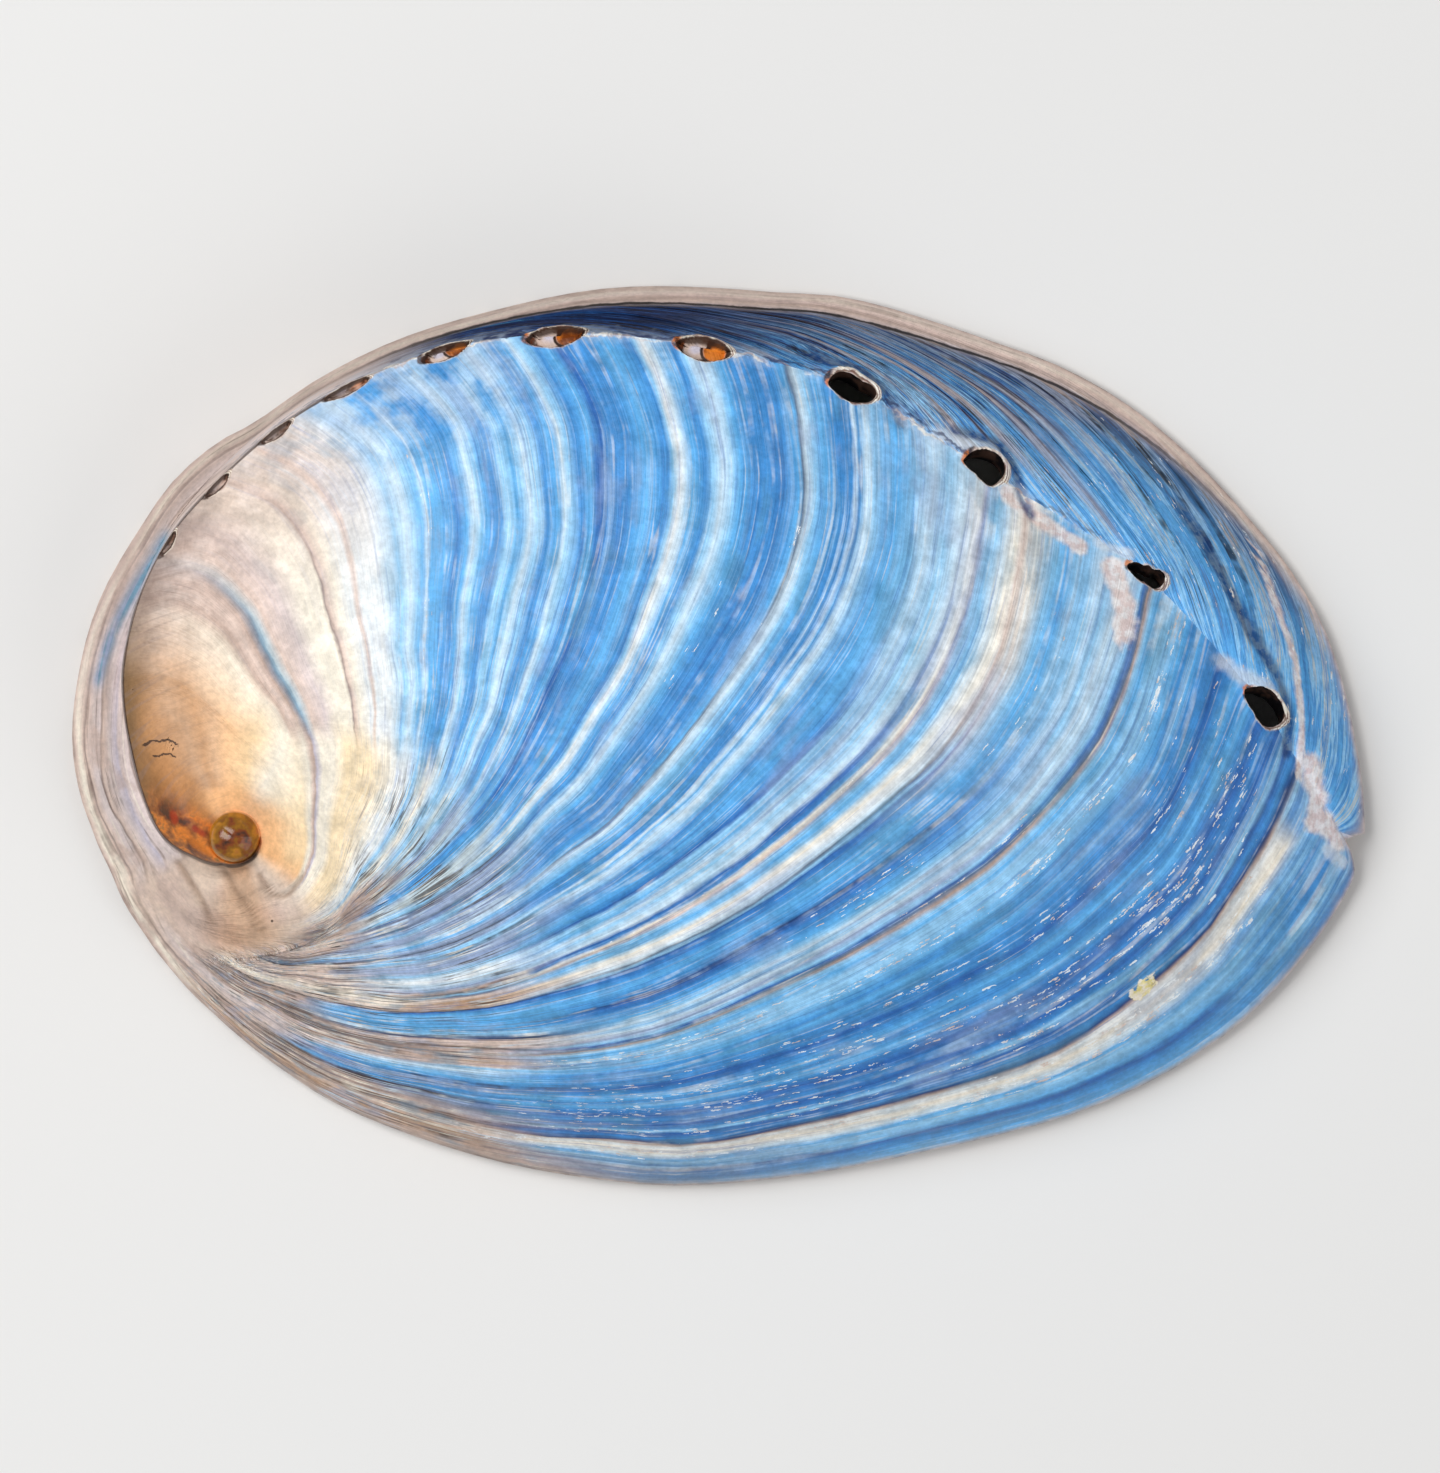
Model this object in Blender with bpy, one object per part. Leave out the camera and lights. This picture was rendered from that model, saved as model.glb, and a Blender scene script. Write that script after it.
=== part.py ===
"""Abalone shell: one piece grown in a flat spiral, with a row of breathing holes along its shoulder.

Bearings are degrees anticlockwise from +X about the spire.  A growth stage is the bearing at which an
earlier margin met the shoulder, 0 being today's margin.  A lag is how far a point of a growth line lies
behind that meeting point, going clockwise: 0 on the shoulder, 360 on the shoulder's outer face.
"""

import bmesh
import bpy
import numpy as np
from mathutils import Matrix, Vector

for old in list(bpy.data.objects):
    bpy.data.objects.remove(old, do_unlink=True)

MM = 0.001

# Plan of the shell, millimetres.
SPIRE = (-36.3, -7.5)
DOME_CENTRE = (-5.9, 3.3)
NUB_RADIUS = 1.95
# Margin of the shell: bearing, radius from the spire.
MARGIN = [
    (0.0, 84.7), (2, 84.65), (6, 84.15), (10, 83.4), (14, 81.7), (18, 79.3), (22, 76.9), (26, 74.2),
    (30, 70.9), (33, 68.0), (36, 65.4), (42, 60.6), (45, 57.7), (48, 55.3), (56, 49.6), (64, 43.9),
    (72, 39.2), (80, 34.8), (88, 30.9), (92, 29.8), (100, 27.1), (108, 24.0), (120, 20.5), (136, 16.6),
    (150, 14.2), (165, 12.1), (180, 10.6), (200, 9.7), (220, 9.85), (240, 10.8), (260, 13.0), (270, 14.8),
    (280, 17.4), (290, 21.1), (300, 25.7), (308, 30.7), (316, 36.9), (320, 40.7), (328, 48.4),
    (335, 56.3), (338, 60.5), (342, 66.7), (346, 72.3), (350, 77.1), (354, 80.9), (357, 83.3),
    (358.2, 83.95), (359.3, 83.6), (360, 82.9),
]
# Shoulder that carries the holes, from the notch in the margin round to the nub.
SHOULDER = [
    (0, 82.9), (7, 77.6), (16, 70.8), (26, 62.4), (36, 57.0), (46, 50.8), (57, 44.8), (66, 40.0),
    (76, 34.6), (84, 30.6), (93, 26.4), (103, 22.6), (122, 15.5), (143, 9.4), (160, 7.0), (180, 5.3),
    (210, 3.2), (240, 2.4), (270, 2.1), (360, NUB_RADIUS),
]
# How much older growth lines bunch up towards the margin: by stage, and by lag.
BUNCH_BY_STAGE = [(0, 0), (26, 0.22), (52, 0.48), (84, 0.88), (105, 0.86), (150, 1.3)]
BUNCH_BY_LAG = [(0, 0), (30, 0.02), (60, 0.3), (90, 0.58), (120, 0.9), (145, 1.0), (360, 1.0)]
WALL_CROWDING = [(0, 1.25), (60, 0.85), (240, 0.8), (270, 1.3), (300, 2.2), (330, 2.6), (360, 3.0)]
OLD_STAGE = 125.0
# Towards the nub, growth lines older than that close in by this power.
WHORL_CROWDING = 1.8
# Stages over which the lobe beside the notch dies away.
LOBE_FADE = (0, 4)
# Lag at which a growth line starts to turn from the dome's pattern to the wall's, and the reach of the turn.
WALL_TURN_LAG = 115.0
WALL_TURN_SPAN = 75.0

# Heights, millimetres above the table.
DOME_HEIGHT = 21.8
LIP_HEIGHT = 0.9
DOME_POWER = 2.1
DOME_SHARPNESS = 0.75
# Where the dome would come down to the table if the shoulder did not cut it: bearing about its centre.
DOME_REACH = [
    (-40, 48.0), (-30, 50.9), (-22, 53.6), (-14, 55.2), (-8, 55.6), (0, 54.6), (14, 51.0), (33, 47.6),
    (55, 46.8), (79, 45.8), (103, 46.8), (119, 48.2), (134, 49.4), (154, 50.4), (166, 50.2), (177, 49.2),
    (188, 47.0), (200, 43.6), (212, 41.2), (225, 39.5),
]
# Bearings over which that takes over from the margin itself, and gives way to it again.
REACH_START = (-36, -14)
REACH_END = (200, 224)
REACH_SMOOTHING = 7.0
REACH_WINDOW = 24
# Stages over which the shoulder leaves the dome for its own height.
SPIRE_TAKEOVER = (95, 130)
SPIRE_SHOULDER = [(100, 12.8), (122, 11.0), (143, 9.9), (160, 9.6), (180, 9.5), (210, 9.6),
                  (240, 9.9), (300, 10.5), (360, 10.8)]
WALL_FOOT = [(0, 0.0), (10, 0.3), (30, 1.2), (57, 2.2), (90, 2.8), (120, 3.6), (150, 4.4), (180, 5.2),
             (225, 7.0), (270, 8.8), (315, 10.2), (360, 10.8)]
FLANGE_SHARE = [(0, 0.02), (20, 0.1), (40, 0.25), (57, 0.38), (76, 0.5), (84, 0.56), (93, 0.66),
                (103, 0.8), (122, 0.92), (143, 0.94), (180, 0.95), (240, 0.96), (300, 0.975), (360, 0.98)]
NUB_BASE = 10.8
NUB_RISE = 1.25
NUB_ROUNDNESS = 0.6
# Distance over which the dome, the foot of the wall and the arched margin settle to their neighbours.
SETTLING = 4.0
# Bearings over which the whorl takes over from the dome, its rise to the shoulder and its swell.
WHORL_TAKEOVER = (60, 135)
WHORL_RISE = 1.5
WHORL_SWELL = 1.4
# The flange's slope, and the bearings past the spire over which it gives way to the apron.
FLANGE_SLOPE = 0.85
APRON_TAKEOVER = (215, 300)
# How square the wall's top is, how much more so near the notch, and the bearings where that ends.
WALL_SQUARENESS = 1.3
NEAR_SQUARENESS = 0.4
SQUARENESS_FADE = (70, 110)
# The shoulder's crest is rounded down between the dome and the wall.
CREST_DROOP = 0.4
CREST_WIDTH = 1.7
CREST_START = (0, 10)
CREST_END = (180, 320)
# The margin stands clear of the table at the spire end and at the notch.
MARGIN_ARCH = [(0, 0.8), (8, 0.5), (18, 0.0), (135, 0.0), (165, 1.1), (210, 1.1), (240, 0.0),
               (345, 0.0), (353, 0.5), (360, 0.8)]

WALL_THICKNESS = 1.3
NACRE_SMOOTHING = 6
GRID_STEP = 0.25
GRID_HALF = (50.0, 36.0)
LIP_WIDTH = 1.2
LIP_CHAMFER = 0.3
# Nacre ledge inside the margin on the spire side: its width by bearing, and its height.
LEDGE_WIDTH = [(0, 0.5), (30, 2.0), (60, 4.0), (110, 6.0), (150, 5.2), (190, 3.6), (230, 2.6),
               (280, 1.5), (330, 0.5), (360, 0.5)]
LEDGE_HEIGHT = 1.6
LEDGE_SLOPE = 2.6
LEDGE_LIFT = 12.0
LEDGE_ENDS = (14.0, 80.0, 170.0, 340.0)
# Roof of the hollow inside the spire.
SPIRE_ROOF = 10.2
SPIRE_ROOF_RISE = 0.025
ROOF_ROUNDING = 7.0
LEDGE_ROUNDING = 2.5

# Open holes: stage, length, width, turn off the shoulder's line in degrees.  Sealed ones: the same, and depth.
OPEN_HOLES = [(7.1, 3.9, 2.3, 15), (16.0, 3.3, 1.5, 15), (26.1, 3.3, 2.4, 0), (36.0, 3.9, 2.3, 9)]
SEALED_HOLES = [(46.2, 4.1, 2.1, 0, 0.7), (57.4, 4.4, 1.9, 9, 0.6), (66.6, 3.8, 1.5, 10, 0.55)]
HOLE_DEPTH = 9.0
HOLE_LEAN = 0.45
HOLE_SIDES = 20

COLUMNS = 84
STAGE_RINGS = 27
NUB_RINGS = 2
BOWL_RINGS = 14
BOWL_SAMPLES = 120
BOWL_SPREAD = 1.15
# Columns stand closer beside the shoulder: base, extra and reach of the extra in degrees.
COLUMN_BASE = 12.0
COLUMN_EXTRA = 250.0
COLUMN_REACH = 2.0
STAGE_BASE = 0.06
CUTTER_RINGS = 8


def eased(x, knots):
    """Smooth curve through the knots that never overshoots them."""
    px = np.array([knot[0] for knot in knots], float)
    py = np.array([knot[1] for knot in knots], float)
    gap = np.diff(px)
    slope = np.diff(py) / gap
    before, after = slope[:-1], slope[1:]
    turn = np.zeros(len(px))
    turn[0], turn[-1] = slope[0], slope[-1]
    agree = before * after > 0
    total = np.where(agree, before + after, 1.0)
    turn[1:-1] = np.where(agree, 2 * before * after / total, 0.0)
    x = np.clip(x, px[0], px[-1])
    i = np.clip(np.searchsorted(px, x, side="right") - 1, 0, len(px) - 2)
    t = (x - px[i]) / gap[i]
    start = (1 + 2 * t) * (1 - t) ** 2 * py[i] + t * (1 - t) ** 2 * gap[i] * turn[i]
    return start + t * t * (3 - 2 * t) * py[i + 1] + t * t * (t - 1) * gap[i] * turn[i + 1]


def fade(start, end, x):
    t = np.clip((x - start) / (end - start), 0, 1)
    return t * t * (3 - 2 * t)


def eased_radius(x, knots):
    return np.exp(eased(x, [(at, np.log(radius)) for at, radius in knots]))


def margin_radius(bearing):
    return eased_radius(np.mod(bearing, 360.0), MARGIN)


def shoulder_radius(stage):
    return eased_radius(stage, SHOULDER)


def young_radius(stage, lag):
    """Radius of a growth line no older than OLD_STAGE."""
    notch = SHOULDER[0][1]
    lip = eased_radius(360.0 - lag, MARGIN) / notch
    lip = np.where(lip > 1, 1 + (lip - 1) * (1 - fade(*LOBE_FADE, stage)), lip)
    bunch = eased(stage, BUNCH_BY_STAGE) * eased(lag, BUNCH_BY_LAG)
    over_dome = np.log(shoulder_radius(stage) * lip) + bunch
    bearing = np.clip(stage + 360 - lag, 1e-3, 359.999)
    share = np.clip(1 - stage / bearing, 0, 1) ** eased(bearing, WALL_CROWDING)
    inner = np.log(shoulder_radius(bearing))
    down_wall = inner + (np.log(margin_radius(bearing)) - inner) * share
    start = np.maximum(WALL_TURN_LAG, stage)
    weight = fade(start, start + WALL_TURN_SPAN, lag)
    return np.exp(over_dome + (down_wall - over_dome) * weight)


def line_radius(stage, lag):
    """Radius from the spire of a growth line."""
    stage, lag = np.broadcast_arrays(np.asarray(stage, float), np.asarray(lag, float))
    bearing = stage - lag
    young = young_radius(np.minimum(stage, OLD_STAGE), np.where(stage > OLD_STAGE, OLD_STAGE - bearing, lag))
    edge = shoulder_radius(np.maximum(bearing, OLD_STAGE))
    outer = np.where(bearing < OLD_STAGE, young_radius(np.full(stage.shape, OLD_STAGE),
                                                       np.clip(OLD_STAGE - bearing, 0, 360)), edge)
    last = np.where(bearing >= 0, 360.0, bearing + 360)
    inner = np.where(bearing >= 0, NUB_RADIUS, shoulder_radius(last))
    left = np.clip((last - stage) / np.maximum(last - np.maximum(OLD_STAGE, bearing), 1e-6), 0, 1)
    return np.where(stage <= OLD_STAGE, young, inner + (outer - inner) * left ** WHORL_CROWDING)


def spot(radius, bearing):
    """Plan position of a point given about the spire."""
    turn = np.radians(bearing)
    return SPIRE[0] + radius * np.cos(turn), SPIRE[1] + radius * np.sin(turn)


def dome_reach():
    """Distance from the dome's centre to where the dome meets the table, for each degree round it."""
    bearing = np.linspace(0, 360, 1441)
    x, y = spot(margin_radius(bearing), bearing)
    around = np.mod(np.degrees(np.arctan2(y - DOME_CENTRE[1], x - DOME_CENTRE[0])), 360)
    away = np.hypot(x - DOME_CENTRE[0], y - DOME_CENTRE[1])
    order = np.argsort(around)
    degree = np.arange(360.0)
    margin = np.interp(degree, around[order], away[order], period=360)
    signed = np.where(degree > 300, degree - 360, degree)
    virtual = eased(signed, DOME_REACH)
    share = np.where(degree > 300, fade(*REACH_START, signed), 1 - fade(*REACH_END, degree))
    reach = margin + (virtual - margin) * share
    spread = np.arange(-REACH_WINDOW, REACH_WINDOW + 1)
    weight = np.exp(-(spread / REACH_SMOOTHING) ** 2)
    wrapped = np.concatenate([reach[-REACH_WINDOW:], reach, reach[:REACH_WINDOW]])
    return np.convolve(wrapped, weight / weight.sum(), mode="valid")


DOME_EDGE = dome_reach()


def dome(x, y):
    around = np.mod(np.degrees(np.arctan2(y - DOME_CENTRE[1], x - DOME_CENTRE[0])), 360)
    reach = np.interp(around, np.arange(360.0), DOME_EDGE, period=360)
    out = np.hypot(x - DOME_CENTRE[0], y - DOME_CENTRE[1]) / reach
    return DOME_HEIGHT * np.clip(1 - out ** DOME_POWER, 0, 1) ** DOME_SHARPNESS


def shoulder_height(stage):
    """Height of the shoulder over the lip: it follows the dome, then levels off round the spire."""
    x, y = spot(shoulder_radius(stage), stage)
    return dome(x, y) + (eased(stage, SPIRE_SHOULDER) - dome(x, y)) * fade(*SPIRE_TAKEOVER, stage)


def outer_height(radius, bearing):
    """Height of the outer surface.  Bearings below 0 are outside the shoulder, the rest inside it."""
    radius, bearing = np.broadcast_arrays(np.asarray(radius, float), np.asarray(bearing, float))
    x, y = spot(radius, bearing)
    over = dome(x, y)
    # Inside the shoulder: dome, settling to the nub's base.
    at = np.maximum(bearing, 0.0)
    base_x, base_y = spot(NUB_RADIUS, bearing)
    settle = (NUB_BASE - dome(base_x, base_y)) * np.exp(-np.maximum(radius - NUB_RADIUS, 0) / SETTLING)
    edge = shoulder_radius(at)
    share = np.clip((radius - NUB_RADIUS) / np.maximum(edge - NUB_RADIUS, 1e-3), 0, 1)
    whorl = NUB_BASE + (shoulder_height(at) - NUB_BASE) * share ** WHORL_RISE
    whorl = whorl + WHORL_SWELL * share * (1 - share)
    inside = (over + settle) * (1 - fade(*WHORL_TAKEOVER, at)) + whorl * fade(*WHORL_TAKEOVER, at)
    # Outside the shoulder: flange, then the wall or the step up to the shoulder.
    turned = np.clip(bearing + 360, 1e-3, 360)
    edge = shoulder_radius(turned)
    rim = margin_radius(np.minimum(turned, 359.999))
    up = np.clip((rim - radius) / np.maximum(rim - edge, 1e-3), 0, 1)
    flange = eased(turned, FLANGE_SHARE)
    foot = eased(turned, WALL_FOOT)
    strip = foot * np.clip(up / flange, 0, 1) ** FLANGE_SLOPE
    edge_x, edge_y = spot(edge, turned)
    hollow = (foot - dome(edge_x, edge_y)) * np.exp(-np.maximum(radius - edge, 0) / SETTLING)
    hollow = hollow * (1 - (1 - up) ** 3)
    low = strip + (over + hollow - strip) * fade(*APRON_TAKEOVER, turned)
    step = np.clip((up - flange) / (1 - flange), 0, 1)
    step = 1 - (1 - step) ** (WALL_SQUARENESS + NEAR_SQUARENESS * (1 - fade(*SQUARENESS_FADE, turned)))
    outside = low + (shoulder_height(turned) - foot) * step
    height = np.where(bearing >= 0, inside, outside)
    stage = np.where(bearing >= 0, at, turned)
    off_crest = (radius - shoulder_radius(stage)) / CREST_WIDTH
    crest = np.exp(-off_crest ** 2) * fade(*CREST_START, stage) * (1 - fade(*CREST_END, stage))
    height = height - CREST_DROOP * crest
    # Nub at the top of the spire.
    part = np.clip(radius / NUB_RADIUS, 0, 1)
    nub = NUB_BASE + NUB_RISE * (1 - part ** 2) ** NUB_ROUNDNESS
    height = np.where(radius < NUB_RADIUS, nub, height)
    arch = eased(np.mod(bearing, 360), MARGIN_ARCH)
    return height + LIP_HEIGHT + arch * np.exp(-height / SETTLING)


def height_at(x, y):
    """Height of the outer surface over a plan position, 0 beyond the margin."""
    radius = np.hypot(x - SPIRE[0], y - SPIRE[1])
    turned = np.mod(np.degrees(np.arctan2(y - SPIRE[1], x - SPIRE[0])), 360)
    bearing = np.where(radius > shoulder_radius(turned), turned - 360, turned)
    return np.where(radius <= margin_radius(turned), outer_height(radius, bearing), 0.0)


def nacre_grid():
    """Heights, on a plan grid, of the surface lying one wall thickness under the outer one, smoothed."""
    x = np.arange(-GRID_HALF[0], GRID_HALF[0] + GRID_STEP, GRID_STEP)
    y = np.arange(-GRID_HALF[1], GRID_HALF[1] + GRID_STEP, GRID_STEP)
    outer = height_at(*np.meshgrid(x, y))
    reach = int(WALL_THICKNESS / GRID_STEP)
    under = outer - WALL_THICKNESS
    for i in range(-reach, reach + 1):
        for j in range(-reach, reach + 1):
            away = GRID_STEP * np.hypot(i, j)
            if away <= WALL_THICKNESS:
                drop = np.sqrt(WALL_THICKNESS ** 2 - away ** 2)
                under = np.minimum(under, np.roll(outer, (i, j), axis=(0, 1)) - drop)
    for _ in range(NACRE_SMOOTHING):
        for axis in (0, 1):
            under = (np.roll(under, 1, axis) + 2 * under + np.roll(under, -1, axis)) / 4
    return under


NACRE = nacre_grid()


def under_height(x, y):
    rows, columns = NACRE.shape
    i = np.clip((y + GRID_HALF[1]) / GRID_STEP, 0, rows - 1.001)
    j = np.clip((x + GRID_HALF[0]) / GRID_STEP, 0, columns - 1.001)
    i0, j0 = i.astype(int), j.astype(int)
    di, dj = i - i0, j - j0
    low = NACRE[i0, j0] * (1 - dj) + NACRE[i0, j0 + 1] * dj
    high = NACRE[i0 + 1, j0] * (1 - dj) + NACRE[i0 + 1, j0 + 1] * dj
    return low * (1 - di) + high * di


def bowl_height(x, y):
    """Height of the nacre bowl, with the ledge along the spire side."""
    radius = np.hypot(x - SPIRE[0], y - SPIRE[1])
    turned = np.mod(np.degrees(np.arctan2(y - SPIRE[1], x - SPIRE[0])), 360)
    roof = SPIRE_ROOF + SPIRE_ROOF_RISE * radius ** 2
    height = lower_of(under_height(x, y), roof, ROOF_ROUNDING)
    inward = margin_radius(turned) - radius - LIP_WIDTH
    start, full, fading, end = LEDGE_ENDS
    missing = 1 - fade(start, full, turned) * (1 - fade(fading, end, turned))
    past = np.maximum(inward - eased(turned, LEDGE_WIDTH), 0)
    ledge = LEDGE_HEIGHT * fade(0, 3, inward) + LEDGE_SLOPE * past + LEDGE_LIFT * missing
    return np.maximum(lower_of(height, ledge, LEDGE_ROUNDING), 0.0)


def lower_of(a, b, rounding):
    """The lower of two surfaces, with their meeting line rounded off."""
    mix = np.clip(0.5 + 0.5 * (b - a) / rounding, 0, 1)
    return b + (a - b) * mix - rounding * mix * (1 - mix)


def lags():
    """Columns spread along the margin, with extra ones beside the shoulder."""
    lag = np.linspace(0, 360, 3601)
    density = margin_radius(360.0 - lag) + COLUMN_BASE + COLUMN_EXTRA * np.exp(-(360.0 - lag) / COLUMN_REACH)
    total = np.concatenate([[0], np.cumsum((density[1:] + density[:-1]) / 2)])
    return np.interp(np.linspace(0, total[-1], COLUMNS + 1)[:-1], total, lag)


def stages():
    """Growth stages evenly spread by the shoulder's radius, slowing towards the nub."""
    stage = np.linspace(0, 360, 3601)
    density = -np.gradient(shoulder_radius(stage), stage) + STAGE_BASE
    total = np.concatenate([[0], np.cumsum((density[1:] + density[:-1]) / 2)])
    return np.interp(np.linspace(0, total[-1], STAGE_RINGS + 1), total, stage)


def outer_ring(radius, bearing):
    x, y = spot(radius, bearing)
    return np.stack([x, y, outer_height(radius, bearing)], axis=1)


def shell_rings():
    """Rings of points from the nub outwards, round the lip and in over the bowl, in millimetres."""
    lag = lags()
    rings = []
    for part in range(NUB_RINGS, 0, -1):
        radius = np.full(lag.shape, NUB_RADIUS * (1 - part / (NUB_RINGS + 1)))
        rings.append(outer_ring(radius, 360.0 - lag))
    for stage in reversed(stages()):
        rings.append(outer_ring(line_radius(stage, lag), stage - lag))
    edge = rings[-1][:, :2]
    arch = eased(np.mod(-lag, 360), MARGIN_ARCH)
    for inset in (LIP_CHAMFER, LIP_WIDTH):
        rings.append(np.column_stack([edge + inward_normals(edge) * inset, arch]))
    rings.extend(bowl_rings(rings[-1][:, :2]))
    return rings


def bowl_rings(lip):
    """Rings over the bowl, evenly spread along the surface from the lip to the dome's centre."""
    inward = np.linspace(0, 1, BOWL_SAMPLES)[:, None, None]
    plan = lip + (np.array(DOME_CENTRE) - lip) * inward
    height = bowl_height(plan[..., 0], plan[..., 1])
    height[0] = 0
    points = np.concatenate([plan, height[..., None]], axis=2)
    length = np.linalg.norm(np.diff(points, axis=0), axis=2)
    run = np.concatenate([np.zeros((1, length.shape[1])), np.cumsum(length, axis=0)])
    rings = []
    for k in range(1, BOWL_RINGS):
        ring = []
        for column in range(lip.shape[0]):
            along = run[:, column]
            wanted = along[-1] * (k / BOWL_RINGS) ** BOWL_SPREAD
            ring.append([np.interp(wanted, along, points[:, column, axis]) for axis in range(3)])
        rings.append(np.array(ring))
    return rings


def inward_normals(plan):
    along = np.roll(plan, -1, axis=0) - np.roll(plan, 1, axis=0)
    # The rings run clockwise, so the inside is on the right hand.
    normal = np.stack([along[:, 1], -along[:, 0]], axis=1)
    return normal / np.linalg.norm(normal, axis=1)[:, None]


def add_shell():
    rings = shell_rings()
    bm = bmesh.new()
    rows = [[bm.verts.new(point * MM) for point in ring] for ring in rings]
    top = bm.verts.new((SPIRE[0] * MM, SPIRE[1] * MM, (NUB_BASE + NUB_RISE + LIP_HEIGHT) * MM))
    roof = float(bowl_height(np.array([DOME_CENTRE[0]]), np.array([DOME_CENTRE[1]]))[0])
    bottom = bm.verts.new((DOME_CENTRE[0] * MM, DOME_CENTRE[1] * MM, roof * MM))
    for k in range(COLUMNS):
        n = (k + 1) % COLUMNS
        bm.faces.new((top, rows[0][n], rows[0][k]))
        bm.faces.new((bottom, rows[-1][k], rows[-1][n]))
        for upper, lower in zip(rows, rows[1:]):
            bm.faces.new((upper[k], upper[n], lower[n], lower[k]))
    bmesh.ops.triangulate(bm, faces=bm.faces[:])
    bmesh.ops.recalc_face_normals(bm, faces=bm.faces[:])
    return add_object("shell", bm)


def add_object(name, bm):
    mesh = bpy.data.meshes.new(name)
    bm.to_mesh(mesh)
    bm.free()
    for face in mesh.polygons:
        face.use_smooth = True
    body = bpy.data.objects.new(name, mesh)
    bpy.context.scene.collection.objects.link(body)
    return body


def shoulder_frame(stage, skew):
    """Point on the shoulder, with a hole's directions along it, across it and out of the shell."""
    x, y = spot(shoulder_radius(stage), stage)
    near, far = stage - 0.5, stage + 0.5
    x0, y0 = spot(shoulder_radius(near), near)
    x1, y1 = spot(shoulder_radius(far), far)
    height = float(shoulder_height(stage)) + LIP_HEIGHT
    plan = Vector((float(x1 - x0), float(y1 - y0), 0)).normalized()
    outward = Vector((plan.y, -plan.x, 0))
    axis = (Vector((0, 0, 1)) * np.cos(HOLE_LEAN) + outward * np.sin(HOLE_LEAN)).normalized()
    run = Vector((float(x1 - x0), float(y1 - y0), float(shoulder_height(far) - shoulder_height(near))))
    along = (run - axis * run.dot(axis)).normalized()
    turn = Matrix((along, axis.cross(along), axis)).transposed()
    return Vector((float(x), float(y), height)), turn @ Matrix.Rotation(np.radians(skew), 3, "Z")


def add_hole_cutters():
    """Oval rods through the wall for the open holes, flat ovals for the sealed ones."""
    bm = bmesh.new()
    for stage, length, width, skew in OPEN_HOLES:
        centre, turn = shoulder_frame(stage, skew)
        shape = Matrix.Diagonal((length / 2, width / 2, HOLE_DEPTH, 1))
        place = Matrix.Translation(centre) @ turn.to_4x4() @ shape
        bmesh.ops.create_cone(bm, cap_ends=True, segments=HOLE_SIDES, radius1=1, radius2=1, depth=1,
                              matrix=Matrix.Scale(MM, 4) @ place)
    for stage, length, width, skew, depth in SEALED_HOLES:
        centre, turn = shoulder_frame(stage, skew)
        shape = Matrix.Diagonal((length / 2, width / 2, depth, 1))
        place = Matrix.Translation(centre) @ turn.to_4x4() @ shape
        bmesh.ops.create_uvsphere(bm, u_segments=HOLE_SIDES, v_segments=CUTTER_RINGS, radius=1,
                                  matrix=Matrix.Scale(MM, 4) @ place)
    bmesh.ops.recalc_face_normals(bm, faces=bm.faces[:])
    cutters = add_object("hole_cutters", bm)
    cutters.hide_render = True
    cutters.display_type = "WIRE"
    return cutters


def add_nacre_material(shell):
    material = bpy.data.materials.new("shell_blue")
    material.use_nodes = True
    shader = material.node_tree.nodes["Principled BSDF"]
    shader.inputs["Base Color"].default_value = (0.13, 0.33, 0.62, 1)
    shader.inputs["Roughness"].default_value = 0.4
    shell.data.materials.append(material)


shell = add_shell()
add_nacre_material(shell)
cut = shell.modifiers.new("holes", "BOOLEAN")
cut.operation = "DIFFERENCE"
cut.solver = "EXACT"
cut.object = add_hole_cutters()
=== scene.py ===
"""Abalone shell: the looks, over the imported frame.

Growth lines run over the shell from the spire to the margin.  A stage is the bearing, in degrees about the
spire, at which an earlier margin met the shoulder (0 today), and a lag is how far behind that point a spot
on the line lies, going clockwise.  The mesh, its ridges and its colours all follow these two.
"""

import bpy
import numpy as np
from mathutils import Matrix, Vector


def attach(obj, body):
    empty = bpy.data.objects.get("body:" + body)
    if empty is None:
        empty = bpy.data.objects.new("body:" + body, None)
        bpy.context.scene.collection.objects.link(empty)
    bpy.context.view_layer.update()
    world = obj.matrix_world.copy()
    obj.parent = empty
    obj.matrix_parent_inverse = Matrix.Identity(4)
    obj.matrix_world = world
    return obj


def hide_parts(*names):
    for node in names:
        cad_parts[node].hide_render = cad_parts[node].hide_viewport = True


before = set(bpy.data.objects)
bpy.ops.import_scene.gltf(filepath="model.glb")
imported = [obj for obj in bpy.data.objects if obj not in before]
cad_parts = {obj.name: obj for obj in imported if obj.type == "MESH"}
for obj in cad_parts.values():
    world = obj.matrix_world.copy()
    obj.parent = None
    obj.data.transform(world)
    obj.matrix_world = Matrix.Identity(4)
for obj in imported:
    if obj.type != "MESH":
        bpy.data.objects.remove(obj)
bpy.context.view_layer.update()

MM = 0.001
# A long lens from far up: the picture's long side spans 110.5 mm at the height where the outline lies.
CAMERA_LENS = 1000.0
CAMERA_HEIGHT = 3.0708
CAMERA_SENSOR = 36.0

# Plan of the shell, millimetres.
SPIRE = (-36.3, -7.5)
DOME_CENTRE = (-5.9, 3.3)
NUB_RADIUS = 1.95
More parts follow.
